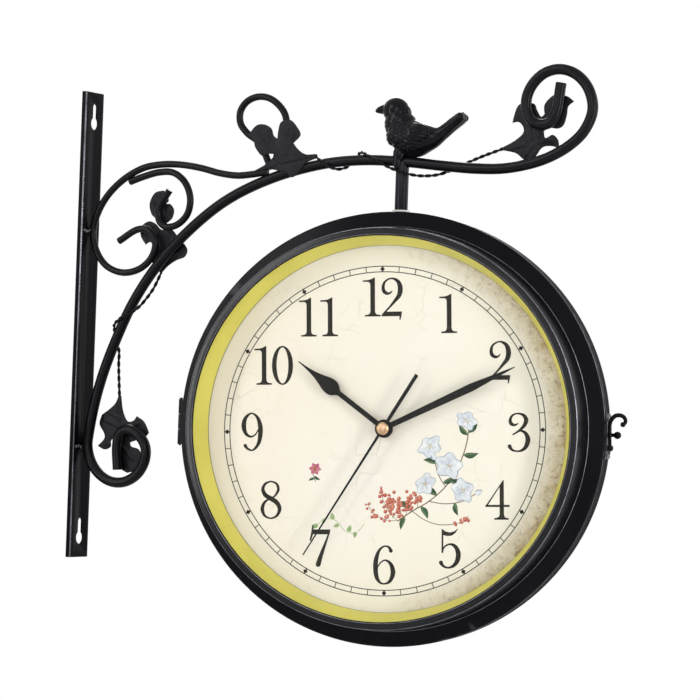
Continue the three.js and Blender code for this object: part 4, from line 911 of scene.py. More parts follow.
def clear_glass():
    """Flat glass that lets the dial show and gathers reflections at grazing angles."""
    material, node, put, shader = blank_material("glass")
    facing = node("LayerWeight", {"Blend": 0.25}).outputs["Fresnel"]
    reach = node("MapRange", {"To Min": 0.004, "To Max": 0.30, "Value": facing})
    smear = node("TexNoise", {"Scale": 14, "Vector": node("TexCoord").outputs["Object"]}).outputs["Fac"]
    spread = node("MapRange", {"To Min": 0.02, "To Max": 0.07, "Value": smear})
    put(shader, {"Base Color": (0.90, 0.92, 0.90, 1), "Roughness": spread.outputs["Result"],
                 "Alpha": reach.outputs["Result"]})
    return material


GLASS = clear_glass()

# ---------------------------------------------------------------- printing
DIAL_FACE, UNDER_FACE = 30.0, 30.0 - 0.03
PRINT_TURN = Matrix.Translation((-1.6, 0, -1.8)) @ Matrix.Rotation(math.radians(-2.3), 4, "Y")


def pen(points, steps=7):
    """A pen stroke through (x, z, width) as a row of four-cornered outlines."""
    path = catmull(points, steps)
    along = np.gradient(path[:, :2], axis=0)
    across = np.stack([-along[:, 1], along[:, 0]], 1) / np.linalg.norm(along, axis=1)[:, None]
    left, right = path[:, :2] + across * path[:, 2:] / 2, path[:, :2] - across * path[:, 2:] / 2
    return [[left[i], right[i], right[i + 1], left[i + 1]] for i in range(len(path) - 1)]

NUMERALS = {
    "1": [[(-8.3, 28.7), (-3.6, 28.6), (-2.4, 27.8), (-1.95, 26.2), (-1.95, 4.2), (-2.5, 2.4), (-4.0, 1.5),
           (-6.6, 1.3), (-6.6, 0), (6.6, 0), (6.6, 1.3), (4.0, 1.5), (2.5, 2.4), (1.95, 4.2), (1.95, 32.0),
           (1.5, 32.2), (-1.4, 30.7), (-4.0, 30.1), (-8.3, 29.9)]],
    "2": pen([(9.4, 21.2, 0.5), (8.0, 19.5, 1.4), (5.4, 18.7, 2.3), (2.6, 20.4, 3.0), (1.7, 23.8, 2.7),
              (3.2, 28.4, 1.8), (8.7, 31.2, 1.3), (14.0, 28.8, 3.0), (16.1, 23.4, 4.2), (15.2, 17.4, 3.8),
              (11.2, 12.2, 2.4), (6.8, 7.2, 1.6), (2.6, 2.8, 1.5),
              (0.7, 0.6, 1.3)])
    + [[(0, 0), (17.0, 0), (17.5, 3.8), (3.6, 3.8), (1.6, 2.2)],
       [(15.4, 0.4), (15.3, -3.0), (16.3, -2.9), (17.0, 0.4)]],
    "3": pen([(9.2, 23.9, 0.5), (7.8, 22.6, 1.3), (5.4, 22.1, 2.2), (2.9, 23.6, 3.0), (2.5, 26.6, 2.4),
              (4.4, 30.0, 1.7), (8.5, 31.4, 1.3), (13.2, 30.2, 2.4), (15.6, 26.4, 3.6), (14.1, 21.8, 3.0),
              (9.4, 17.2, 1.7),
              (4.3, 14.1, 1.2)])
    + pen([(8.2, 16.2, 0.9), (11.0, 17.3, 1.4), (14.6, 15.8, 2.6), (17.0, 10.6, 4.0), (15.4, 4.6, 3.4),
              (12.2, 1.6, 2.2), (8.3, 0.7, 1.4), (4.2, 1.7, 1.9),
           (1.9, 4.2, 3.1)]) + [disc(1.8, 4.7, 1.65)],
    "4": [[(14.4, 32.2), (15.3, 32.2), (15.3, 4.2), (15.8, 2.4), (17.1, 1.5), (19.2, 1.3), (19.2, 0),
              (7.2, 0), (7.2, 1.3), (9.4, 1.5), (11.2, 2.4), (11.8, 4.2),
           (11.8, 27.6)],
          [(0, 10.4), (20.0, 10.4), (20.0, 12.1), (0, 12.1)],
          [(0, 11.2), (1.9, 11.6), (14.6, 31.0), (14.6, 32.2)]],
    "5": [[(2.7, 32.8), (3.3, 32.3), (5.9, 30.4), (9.6, 29.6), (13.2, 30.5), (16.0, 32.8), (16.2, 32.5),
              (14.2, 29.2), (11.1, 27.1), (7.5, 26.6), (4.0, 27.5), (3.9, 13.2), (3.1, 12.6),
           (2.4, 13.2)]]
    + pen([(3.4, 14.6, 0.9), (5.0, 17.9, 1.3), (9.4, 20.0, 1.6), (13.6, 18.4, 2.9), (16.3, 13.3, 4.0),
              (15.8, 7.2, 3.9), (12.6, 2.6, 2.7), (8.0, 0.8, 1.5), (4.1, 2.0, 2.0),
           (2.0, 4.6, 3.0)]) + [disc(1.9, 5.0, 1.65)],
    "6": pen([(15.0, 27.9, 2.8), (13.4, 30.6, 1.9), (9.8, 31.5, 1.3), (5.6, 28.6, 2.1), (2.7, 21.4, 3.6),
              (2.0, 13.4, 4.0), (3.2, 5.4, 3.3), (6.2, 1.4, 1.8), (9.6, 0.7, 1.4), (13.8, 2.6, 2.6),
              (16.7, 10.0, 4.0), (14.6, 17.2, 2.8), (10.3, 20.0, 1.4), (6.3, 18.0, 1.1),
              (3.4, 13.6, 0.9)]) + [disc(15.0, 27.7, 1.6)],
    "7": [[(2.4, 27.0), (16.9, 27.0), (18.1, 31.0), (2.9, 31.0)],
          [(2.6, 34.8), (3.8, 34.8), (3.6, 31.0), (3.3, 27.0), (1.5, 21.8), (0.2, 21.8), (1.2, 26.0),
              (2.1, 31.0)]]
    + pen([(17.4, 29.6, 1.2), (14.1, 20.6, 1.9), (10.8, 11.9, 3.0), (8.8, 6.3, 3.8), (7.6, 2.4, 4.2)])
    + [disc(7.5, 2.2, 2.1)],
    "8": pen([(8.8, 31.3, 1.3), (4.2, 29.2, 2.0), (2.1, 24.8, 2.8), (4.3, 19.9, 3.5), (9.2, 16.9, 3.9),
              (14.0, 13.6, 3.8), (16.4, 8.6, 3.2), (13.9, 2.8, 2.0), (8.8, 0.7, 1.3), (3.7, 2.8, 2.0),
              (1.6, 8.2, 3.1), (3.3, 13.6, 2.2), (7.0, 16.4, 1.4), (12.1, 18.9, 1.5), (15.4, 24.9, 2.3),
              (13.4, 29.6, 1.8), (8.8, 31.3, 1.3)]),
    "9": pen([(14.9, 18.6, 0.9), (11.9, 13.9, 1.2), (8.0, 12.1, 1.6), (3.9, 14.6, 2.8), (2.0, 21.2, 4.0),
              (3.9, 28.2, 2.8), (8.8, 31.5, 1.3), (13.2, 28.8, 2.3), (16.0, 21.6, 3.9), (16.2, 14.0, 3.9),
              (14.2, 5.8, 2.8), (9.4, 0.9, 1.5), (5.2, 2.2, 1.9),
              (3.2, 4.5, 2.7)]) + [disc(3.2, 4.7, 1.5)],
    "0": [[(9.1 + o * math.cos(a), 16.2 + p * math.sin(a)) for a, o, p in (
        (s, 9.0, 16.2), (s + 0.131, 9.0, 16.2), (s + 0.131, 5.05, 14.9), (s, 5.05, 14.9))]
          for s in np.linspace(0, 2 * math.pi, 48, endpoint=False)],
}
# The dial's figures: each numeral and the place of its origin.
PLACES = (
    ("1", -8.5, 94.2), ("2", -1.3, 94.2), ("1", 55.8, 79.7), ("2", 89.0, 41.0), ("3", 103.8, -18.0),
    ("4", 85.3, -73.0), ("5", 46.0, -113.0), ("6", -9.1, -126.2), ("7", -63.2, -112.0), ("8", -104.8, -72.5),
    ("9", -120.9, -16.3), ("1", -101.3, 38.8), ("0", -94.6, 38.5), ("1", -62.8, 78.3), ("1", -44.7, 78.3))


def ink_film(outlines, lift=0.10):
    """A film of ink that stands off the card."""
    return sheet_of(outlines, DIAL_FACE + lift, UNDER_FACE)


def on_dial(side, name, shape, material):
    place, body = SIDES[side]
    piece(f"{side}_{name}", shape, material, body, place=place @ PRINT_TURN)


RAIL_OUTER, RAIL_INNER, RAIL_LINE, HOUR_MARK = 135.5, 130.9, 0.72, 2.3


def minute_track():
    """Two rails with a line at each minute and a lozenge at each hour."""
    rail, mark, half = DIAL_FACE + 0.08, 0.09, RAIL_LINE / 2
    shapes = [lathe(rectangle(radius - half, radius + half, rail, UNDER_FACE), SEGMENTS)
              for radius in (RAIL_OUTER, RAIL_INNER)]
    for minute in range(60):
        a = math.radians(minute * 6)
        ahead, across = np.array((math.sin(a), math.cos(a))), np.array((math.cos(a), -math.sin(a)))
        if minute % 5:
            half = RAIL_LINE * 0.45
            box = [ahead * r + across * w for w, r in (
                (-half, RAIL_INNER), (half, RAIL_INNER), (half, RAIL_OUTER), (-half, RAIL_OUTER))]
        else:
            centre = ahead * (RAIL_OUTER + RAIL_INNER) / 2
            box = [centre + ahead * u * HOUR_MARK + across * v * HOUR_MARK * 0.86
                   for u, v in ((1, 0), (0, 1), (-1, 0), (0, -1))]
        shapes.append(ink_film([box], mark))
    return merge(shapes)


# ---------------------------------------------------------------- one dial side
LINER_FOOT, LINER_SPREAD, LINER_RIM, LINER_LOW, PAINTED_SHADE_RADIUS = 150.8, 8.2, 162.0, 30.3, 154.3
HAND_SHEET = 0.8
HANDS = (  # kind, hub's radius, depth of the face, rest angle, bore's radius
    ("hour", 7.6, 35.5, 305.5, 2.9), ("minute", 6.4, 37.5, 63.5, 2.0), ("second", 4.16, 39.5, 211, 1.0))


def ring(side, name, profile, radii, material, node, closed=True):
    """A rounded profile turned about the dial's axis."""
    place, body = SIDES[side]
    shape = lathe(fillet(profile, radii, 4, closed), SEGMENTS, closed)
    return piece(f"{side}_{name}", shape, material, body, [f"{side}_{node}"], place, 28)


def liner(side):
    """Yellow cove from the card up to the glass, with painted shade in darker olive at its foot."""
    shares = np.linspace(0, 1, 15)
    cove = [(LINER_FOOT + LINER_SPREAD * t ** 1.33, LINER_LOW + 20.1 * t) for t in shares[::-1]]
    behind = [(LINER_FOOT + 1.6 + LINER_SPREAD * t ** 1.33, LINER_LOW + 18.5 * t) for t in shares]
    profile = [(LINER_RIM, LINER_LOW + 20.1), *cove, *behind, (LINER_RIM, LINER_LOW + 18.5)]
    radii = [0.3, 0.5] + [0] * 28 + [0.3, 0.3]
    thing = ring(side, "liner_ring", profile, radii, YELLOW, "liner")
    thing.data.materials.append(OLIVE_PAINTED_SHADE)
    # Faces near the card take the olive painted shade.
    centre = np.array(SIDES[side][0].translation)
    for face in thing.data.polygons:
        if np.linalg.norm(np.array(face.center) - centre) < PAINTED_SHADE_RADIUS * MM:
            face.material_index = 1


def bezier(*points, steps):
    """The points after the first of a curve with the control points given."""
    out = []
    for t in np.linspace(0, 1, steps + 1)[1:]:
        level = [np.array(p, float) for p in points]
        while len(level) > 1:
            level = [(1 - t) * a + t * b for a, b in zip(level, level[1:])]
        out.append(tuple(level[0]))
    return out


def hand_outline(kind):
    if kind == "hour":
        shaft, bulb, tip = 2.1, 6.6, 92
        z = tip * 0.62
        right = [(shaft, 0), (shaft, z - bulb * 1.5)]
        right += bezier(right[-1], (shaft, z - bulb), (bulb, z - bulb), (bulb, z), steps=13)
        right += bezier((bulb, z), (bulb, z + bulb * 1.1), (1.2, z + bulb * 1.6), (0.35, tip - 0.6), steps=13)
    elif kind == "minute":
        right = [(2.1, 0), (3.3, 121 * 0.67), (0.3, 120.7)]
    else:
        right = [(1.5, -52.5), (1.5, -52.5 * 0.27), (1.1, 0), (0.5, 124)]
    return right + [(-x, z) for x, z in reversed(right)]


def hands(side):
    place, _ = SIDES[side]
    for kind, hub, depth, angle, bore in HANDS:
        blade_shape = sheet_of([hand_outline(kind), disc(0, 0, hub, 40)], depth, depth - HAND_SHEET)
        thing = applied(raw_object(f"{side}_{kind}_blade", blade_shape), bevel(0.12, 0.5))
        without(thing, [prism(disc(0, 0, bore, 28), "y", -depth - 1, -depth + 2)])
        thing.data.transform(place @ Matrix.Rotation(math.radians(angle), 4, "Y"))
        finish_piece(thing, HAND_BLACK, f"{side}_{kind}", [f"{side}_{kind}_hand"], 25)
    cap = [(0, 42.2), (2.2, 42.1), (3.9, 41.6), (4.9, 40.8), (5.2, 40.2), (5.2, 39.8), (0, 39.8)]
    shape = lathe(fillet(cap, [0, 0.5, 0.5, 0.4, 0.2, 0.1, 0], 3, False), 64, False)
    piece(side + "_cap", shape, BRASS, side + "_second", [side + "_hub_cap"], place, 40)


def dial_side(side):
    place, _ = SIDES[side]
    liner(side)
    ring(side, "glass_pane", rectangle(0, LINER_RIM, 52.7, 50.7), [0, 0.3, 0.3, 0], GLASS, "glass",
         False)
    card = ring(side, "dial_card", rectangle(4.3, 163.2, DIAL_FACE, 28.8), 0.15,
                dial_paper(side + "_dial_paper", place), "dial")
    card.data.materials.append(CARD_BACK)
    outward = (place.to_3x3() @ Vector((0, -1, 0))).normalized()
    for face in card.data.polygons:
        face.material_index = int(face.normal.dot(outward) < 0.5)
    ring(side, "retainer_ring", rectangle(154.6, 163.4, 28.5, 25.0), 0.6, BLACK_PLASTIC, "retainer")
    on_dial(side, "minute_track", minute_track(), INK)
    figures = [ink_film([[(u + x, v + z) for u, v in outline] for outline in NUMERALS[key]])
               for key, x, z in PLACES]
    on_dial(side, "numerals", merge(figures), INK)
    hands(side)


for side in SIDES:
    dial_side(side)


# ---------------------------------------------------------------- printed spray
PRINTS = {name: surface(name, dark, light, patch=patch, rough=(0.65, 0.8), specular=0.15, grain=0)
          for name, dark, light, patch in (
    ("petal_shadow", (0.26, 0.31, 0.42), (0.42, 0.47, 0.56), 160),
    ("petal_white", (0.62, 0.68, 0.76), (0.90, 0.92, 0.93), 110),
    ("petal_line", (0.20, 0.26, 0.36), (0.34, 0.38, 0.48), 200),
    ("blossom_heart", (0.46, 0.34, 0.06), (0.62, 0.52, 0.14), 300),
    ("leaf_deep", (0.018, 0.055, 0.028), (0.060, 0.130, 0.060), 120),
    ("leaf_pale", (0.22, 0.36, 0.13), (0.42, 0.55, 0.27), 90),
    ("stem_brown", (0.10, 0.045, 0.022), (0.20, 0.10, 0.055), 150),
    ("coral_deep", (0.36, 0.045, 0.032), (0.52, 0.11, 0.07), 180),
    ("coral_pale", (0.60, 0.19, 0.12), (0.72, 0.34, 0.24), 180),
    ("pink_bloom", (0.42, 0.06, 0.12), (0.66, 0.26, 0.33), 160))}


def set_down(outline, x, z, turn):
    """The outline turned by degrees, clockwise, about the origin and then moved."""
    c, s = math.cos(math.radians(turn)), math.sin(math.radians(turn))
    return [(x + u * c + v * s, z - u * s + v * c) for u, v in outline]


def ahead_of(x, z, turn, reach):
    return x + reach * math.sin(math.radians(turn)), z + reach * math.cos(math.radians(turn))


def petal(x, z, turn, long, wide, notch=0.12, steps=14):
    """Egg-shaped petal from its foot at x, z, pointing along turn (degrees from up, clockwise)."""
    half = []
    for t in np.linspace(0, 1, steps):
        half.append((wide / 2 * math.sin(math.pi * t ** 0.62) ** 0.8 + 0.02, long * t))
    outline = [(u, v - notch * long * (1 - min(1, u / (wide * 0.22)))) if v > long * 0.97 else (u, v)
               for u, v in half]
    return set_down(outline + [(-u, v) for u, v in reversed(outline[1:])], x, z, turn)


def blade(x, z, turn, long, wide, bend=0.0, steps=12):
    """Pointed leaf with a slight bend to one side."""
    left, right = [], []
    for t in np.linspace(0, 1, steps):
        mid, w = bend * long * math.sin(math.pi * t) * 0.5, wide / 2 * math.sin(math.pi * t ** 0.8) + 0.03
        left.append((mid - w, long * t))
        right.append((mid + w, long * t))
    return set_down(right + left[::-1], x, z, turn)


def along_curve(points, wide, steps=8):
    return pen([(x, z, wide) for x, z in points], steps)


def squeezed(outlines, x, z, share, turn):
    """The outlines narrowed about a point along the direction turn, as a flower seen from its side."""
    c, s = math.cos(math.radians(turn)), math.sin(math.radians(turn))
    seen = [[((u - x) * c - (v - z) * s, share * ((u - x) * s + (v - z) * c)) for u, v in outline]
            for outline in outlines]
    return [set_down(outline, x, z, turn) for outline in seen]


def branches(art):
    main = [(12, -74), (24, -66), (38, -58), (52, -46), (62, -31), (69, -14), (72, 2)]
    side = [(38, -58), (52, -60), (66, -58), (77, -52)]
    low = [(24, -66), (34, -73), (46, -77), (57, -77)]
    for points, wide in ((main, 0.9), (side, 0.7), (low, 0.6), ([(52, -46), (46, -36), (43, -24)], 0.7)):
        art["stem_brown"] += along_curve(points, wide)
    for x, z, turn, long, wide, bend in (
            (24, -66, -58, 15, 5.4, 0.2), (31, -62, 150, 12, 4.6, -0.2), (45, -53, -70, 14, 5.2, 0.25),
            (56, -41, 118, 15, 5.6, -0.2), (62, -31, -52, 13, 4.6, 0.2), (67, -20, 84, 13, 4.8, 0.2),
            (71, -4, -38, 12, 4.2, -0.2), (71, -2, 42, 12, 4.0, 0.2), (60, -59, 168, 11, 4.2, 0.2),
            (18, -71, 200, 11, 4.0, 0.2), (44, -27, -74, 11, 4.2, 0.2), (50, -43, 60, 11, 4.4, 0.2)):
        art["leaf_deep"].append(blade(x, z, turn, long, wide, bend))
        midrib = [ahead_of(x, z, turn, long * share) for share in (0, 0.45, 0.8)]
        art["leaf_pale"] += along_curve(midrib, 0.3, 3)


def blossoms(art, chance):
    for x, z, size, turn, share, lean in (
            (55, -29, 13.5, 12, 0.88, 20), (39, -13, 11.5, 40, 0.80, -30), (66, -49, 12.0, 66, 0.84, 70),
            (70, 8, 10.5, 24, 0.74, 30), (35, -44, 10.5, 5, 0.82, -50)):
        shadow, white, lines = [], [], []
        for k in range(5):
            angle = turn + 72 * k + chance.uniform(-5, 5)
            long = size * chance.uniform(0.93, 1.06)
            shadow.append(petal(x, z, angle, long + 0.35, size * 0.93))
            white.append(petal(*ahead_of(x, z, angle, 0.4), angle + 1.5, long - 0.5, size * 0.78))
            for fan in (-16, -5, 7, 18):
                end = long * chance.uniform(0.45, 0.72)
                line = [ahead_of(x, z, angle + fan, reach) for reach in (1.6, end * 0.6, end)]
                lines += along_curve(line, 0.16, 2)
        for key, outlines in (("petal_shadow", shadow), ("petal_white", white), ("petal_line", lines)):
            art[key] += squeezed(outlines, x, z, share, lean)
        for k in range(9):
            a, r = chance.uniform(0, 2 * math.pi), size * 0.17 * math.sqrt(chance.uniform(0, 1))
            art["blossom_heart"].append(disc(x + r * math.cos(a), z + r * math.sin(a), 0.42, 10))
    for x, z, turn in ((43, -24, -20), (77, -52, 60), (72, 2, 12)):  # closed buds
        art["petal_shadow"].append(petal(x, z, turn, 6.6, 4.6, 0))
        art["petal_white"].append(petal(x, z, turn + 4, 5.8, 3.4, 0))
        art["leaf_deep"] += [petal(x, z, turn - 22, 2.6, 1.5, 0), petal(x, z, turn + 22, 2.6, 1.5, 0)]


def coral_buds(art, chance):
    for path, count in (
            ([(12, -74), (4, -66), (-1, -55), (-2, -46)], 15),
            ([(12, -74), (2, -73), (-8, -68), (-14, -60)], 15),
            ([(57, -77), (65, -75), (71, -70)], 10), ([(14, -74), (14, -64), (11, -56)], 22),
            ([(18, -71), (21, -60), (22, -52)], 22), ([(8, -72), (5, -62), (6, -53)], 24),
            ([(28, -64), (29, -57), (27, -50)], 12)):
        art["stem_brown"] += along_curve(path, 0.4)
        line = catmull(path, 8)
        for k in range(count):
            x, z = line[int(len(line) * (0.25 + 0.74 * k / count))]
            x, z = x + chance.uniform(-2.8, 2.8), z + chance.uniform(-2.8, 2.8)
            size = chance.uniform(0.9, 1.7)
            art["coral_deep"].append(disc(x, z, size, 12))
            art["coral_pale"].append(disc(x - size * 0.25, z + size * 0.28, size * 0.55, 10))


def pink_flower(art, x, z):
    art["leaf_deep"] += along_curve([(x, z), (x - 1.5, z - 5), (x + 0.5, z - 11)], 0.5, 4)
    art["leaf_deep"] += [blade(x - 0.8, z - 6, 120, 6, 2.2, 0.2), blade(x - 0.4, z - 8, -110, 5.5, 2.0, 0.2)]
    art["pink_bloom"] += [petal(x, z, 36 + 60 * k, 5.4, 4.2, 0) for k in range(6)]
    art["coral_deep"] += [disc(x, z, 1.5, 16)]
    art["blossom_heart"] += [disc(x + 0.9 * math.cos(k), z + 0.9 * math.sin(k), 0.3, 8) for k in range(6)]


def tendril(art):
    path = [(-16, -76), (-24, -84), (-33, -82), (-40, -74), (-49, -72), (-56, -77)]
    art["leaf_pale"] += along_curve(path, 0.4)
    for x, z, turn, long in ((-24, -83, 190, 5), (-30, -83, 20, 6), (-38, -77, 250, 5), (-43, -73, -10, 6),
                             (-50, -72, 200, 5), (-56, -77, -120, 6)):
        art["leaf_pale"].append(petal(x, z, turn, long, long * 0.62, 0))


def spray():
    """All shapes of the print by colour: an arching branch of round white blossoms with coral buds."""
    art, chance = {key: [] for key in PRINTS}, np.random.default_rng(11)
    branches(art)
    blossoms(art, chance)
    coral_buds(art, chance)
    pink_flower(art, -58, -31)
    tendril(art)
    return art


# How far each colour stands off the card: the higher covers the lower.
SPRAY_LIFT = {"stem_brown": 0.04, "leaf_deep": 0.05, "leaf_pale": 0.06, "coral_deep": 0.08,
              "coral_pale": 0.10,
              "pink_bloom": 0.06, "petal_shadow": 0.07, "petal_white": 0.09, "petal_line": 0.11,
              "blossom_heart": 0.13}
art = spray()
for side in SIDES:
    for key, lift in SPRAY_LIFT.items():
        on_dial(side, key, ink_film(art[key], lift), PRINTS[key])


# ---------------------------------------------------------------- hinge and latch on the band
PLATE_IN, PLATE_OUT, PLATE_HALF, PLATE_CORNER, PLATE_WAIST = 180.3, 181.5, 19.0, 3.0, 7.0
SEAM_Y, FITTING_FRONT_Y, FITTING_BACK_Y = -5.5, -12.2, 11.5


def scalloped(low, high):
    """Outline in y and z with crowned ends and a waist in the edge at high."""
    half, middle, bow = PLATE_HALF, (low + high) / 2, (high - low) * 0.12
    foot = half - PLATE_CORNER
    out = [(low, -foot)]
    for straight_to, bend, end in (
            (None, (low, -half), (middle, -half)), (None, (high, -half), (high, -foot)),
            ((high, -PLATE_WAIST), (high - bow, 0), (high, PLATE_WAIST)),
            ((high, foot), (high, half), (middle, half)), (None, (low, half), (low, foot))):
        if straight_to:
            out.append(straight_to)
        out += bezier(out[-1], bend, end, steps=10)
    return even([*out, out[0]], 1.0)[:-1]


def hugging_plate(low, high, side):
    """Thin sheet bent round the band, with a rounded rim and a shallow pressed panel."""
    outer = scalloped(low, high)
    grid = np.array([(y, z) for y in np.arange(low + 0.9, high - 0.6, 0.8)
                     for z in np.arange(-18, 18.5, 1.0)])
    gap, _ = to_segments(grid, outer, np.roll(outer, -1, 0))
    sides = list(zip(outer, np.roll(outer, -1, 0)))
    inside = np.array([
        sum(((a[1] > z) != (b[1] > z)) and y < (b[0] - a[0]) * (z - a[1]) / (b[1] - a[1]) + a[0]
            for a, b in sides) % 2 == 1 for y, z in grid])
    points, faces, rim = triangulated([outer], grid[inside & (gap > 0.45)])
    gap, _ = to_segments(points, outer, np.roll(outer, -1, 0))
    edge = 0.30 * np.exp(-(gap / 0.45) ** 2)
    panel = 0.22 * np.clip((gap - 0.9) / 0.5, 0, 1)
    front, back = ([(side * math.sqrt(r * r - z * z), y, z) for r, (y, z) in zip(radii, points)]
                   for radii in (PLATE_OUT - edge - panel, np.full(len(points), PLATE_IN)))
    return closed_sheet(front, back, faces, rim)


def rivet(side, y, z, radius=1.5, height=0.75):
    base = math.sqrt(PLATE_OUT ** 2 - z * z) - 0.45
    profile = [(0, height + 0.25), (radius * 0.5, height + 0.16), (radius * 0.86, height * 0.62),
               (radius, 0.2), (radius, 0), (0, 0)]
    verts, faces = turned_about("x", profile, (0, 0, 0), 24)
    return [(side * (base + x), y + v, z + w) for x, v, w in verts], faces

def fitting(name, shapes, body, node):
    piece(name, merge(shapes), BLACK, body, [node], place=FRONT, crease=35)


KNUCKLE, PIN, LEAF_GAP, WEB_X, WEB_HALF = 2.1, 1.0, 2.4, -181.25, 0.6
HINGE_X, KNUCKLE_TALL = -182.6, (38 - 0.6) / 3


def knuckle(middle, towards):
    """Rolled knuckle with the web that carries it on to its leaf."""
    rolled = arc(HINGE_X, SEAM_Y, KNUCKLE, 0, 350, 36)
    web = rectangle(WEB_X - WEB_HALF, WEB_X + WEB_HALF, SEAM_Y, SEAM_Y + towards * (LEAF_GAP + 1.4))
    verts, faces = sheet_of([rolled, web], middle + KNUCKLE_TALL / 2, middle - KNUCKLE_TALL / 2)
    thing = raw_object("knuckle", ([(x, z, -y) for x, y, z in verts], faces))
    without(thing, [prism(arc(HINGE_X, SEAM_Y, PIN + 0.2, 0, 345, 24), "z", middle - 9, middle + 9)])
    return shape_of(applied(thing, bevel(0.22, 0.7)))


def hinge():
    outer = KNUCKLE_TALL + 0.3
    rear = [hugging_plate(SEAM_Y + LEAF_GAP, FITTING_BACK_Y, -1), knuckle(-outer, 1), knuckle(outer, 1)]
    rear += [rivet(-1, 6.2, z) for z in (-12.5, 12.5)]
    fitting("hinge_rear_wing", rear, "rear_half", "hinge_leaf_rear")
    front = [hugging_plate(FITTING_FRONT_Y, SEAM_Y - LEAF_GAP, -1), knuckle(0, -1)]
    front += [rivet(-1, -10.05, z, 1.25) for z in (-12.5, 12.5)]
    fitting("hinge_front_wing", front, "front_door", "hinge_leaf_front")
    pin = [(0, 20.3), (0.9, 20.2), (1.5, 19.85), (1.7, 19.45), (1.6, 19.3), (PIN, 19.3), (PIN, -19.2),
           (0.85, -19.8), (0.5, -20.0), (0, -20.0)]
    fitting("hinge_pin_shaft", [turned_about("z", pin, (HINGE_X, SEAM_Y, 0), 28)], "rear_half", "hinge_pin")


LATCH_Y, LATCH_Z, STUD_Y, STUD_Z = -9.15, -9.5, 5.5, 1.2
HOOK_WIRE, HOOK_X, HOOK_GAP, THUMB_OFF, CURL = 1.4, 183.7, 3.3, 3.7, 9.4
HOOK_LONG = math.hypot(STUD_Y - LATCH_Y, STUD_Z - LATCH_Z)
HOOK_TURN = math.atan2(STUD_Z - LATCH_Z, STUD_Y - LATCH_Y) + math.radians(59)
BALL, BALL_X, LATCH_FOOT = 3.1, 187.07, 180.9


def hook_point(u, v, out=0.0):
    """A place u along the hook from its pivot, v across it and out from the band."""
    c, s = math.cos(HOOK_TURN), math.sin(HOOK_TURN)
    return HOOK_X + out, LATCH_Y + u * c - v * s, LATCH_Z + u * s + v * c


def latch():
    plate = [hugging_plate(FITTING_FRONT_Y, SEAM_Y - 0.6, 1), rivet(1, LATCH_Y, 13.2, 1.4),
             rivet(1, LATCH_Y, -15.4, 1.2)]
    fitting("latch_front_plate", plate, "front_door", "latch_hook_plate")
    pivot = [(0, 186.4), (1.1, 186.3), (1.8, 186.0), (2.2, 185.6), (2.1, 185.4), (1.3, 185.4), (1.3, 182.2),
             (2.5, 181.9), (2.7, 181.6), (2.7, LATCH_FOOT), (0, LATCH_FOOT)]
    at_pivot, at_stud = (0, LATCH_Y, LATCH_Z), (0, STUD_Y, STUD_Z)
    fitting("latch_pivot_pin", [turned_about("x", pivot, at_pivot, 32)], "front_door", "latch_pivot")
    ball = [(BALL * math.sin(a), BALL_X + BALL * math.cos(a)) for a in np.linspace(0, 2.6, 18)]
    stud = [(0, BALL_X + BALL), *ball[1:], (1.6, 184.3), (1.6, 182.4), (2.3, 182.2), (2.6, 181.9),
            (2.6, LATCH_FOOT), (0, LATCH_FOOT)]
    rear = [hugging_plate(SEAM_Y + 0.6, FITTING_BACK_Y, 1), turned_about("x", stud, at_stud, 36)]
    rear += [rivet(1, 3.3, z) for z in (-13, 13)]
    fitting("latch_stud_plate", rear, "rear_half", "latch_stud")
    hook = even(catmull([hook_point(*p) for p in (
        (0, 0), (6, 1.4), (HOOK_LONG - 6, HOOK_GAP + 0.4), (HOOK_LONG, HOOK_GAP),
        (HOOK_LONG + HOOK_GAP * 0.8, HOOK_GAP * 0.55), (HOOK_LONG + HOOK_GAP, -HOOK_GAP * 0.5))]), 0.5)
    thumb = even(catmull([hook_point(HOOK_LONG + past, THUMB_OFF, out) for past, out in (
        (-6, 0), (CURL * 0.25, 0.2), (CURL * 0.62, 1.6), (CURL * 0.92, 4.4), (CURL, 7.6), (CURL * 0.9, 10.8),
        (CURL * 0.64, 12.8), (CURL * 0.35, 12.7), (CURL * 0.2, 10.9))]), 0.5)
    eye = [(2.7, HOOK_X + 1.0), (2.4, HOOK_X + 1.4), (1.5, HOOK_X + 1.4), (1.5, HOOK_X - 1.4),
           (2.4, HOOK_X - 1.4), (2.7, HOOK_X - 1.0)]
    swell = 0.35 * np.sin(np.linspace(0, 1, len(thumb)) * math.pi)
    thing = raw_object("latch_hook_casting", merge([
        tube(hook, HOOK_WIRE, 20, 0.3), tube(thumb, 1.45 + swell, 20, 0.3),
        ellipsoid(thumb[-1], (2.2, 2.2, 2.2), 0, 16), turned_about("x", eye, at_pivot, 32, True)]))
    remeshed(thing, 0.28, 3)
    without(thing, [prism(arc(LATCH_Y, LATCH_Z, 1.5, 0, 345, 24), "x", 180, 188)])
    thing.data.transform(FRONT)
    finish_piece(thing, BLACK, "latch_hook", ["latch_hook"], crease=50)


hinge()
latch()


# ---------------------------------------------------------------- hanger
THREAD, THREAD_ROOT, THREAD_PITCH, THREAD_TURNS = 3.0, 2.68, 0.8, 36


def about_hanger(profile, segments, closed=False):
    return turned_about("z", profile, (HANGER_X, 0, 0), segments, closed)


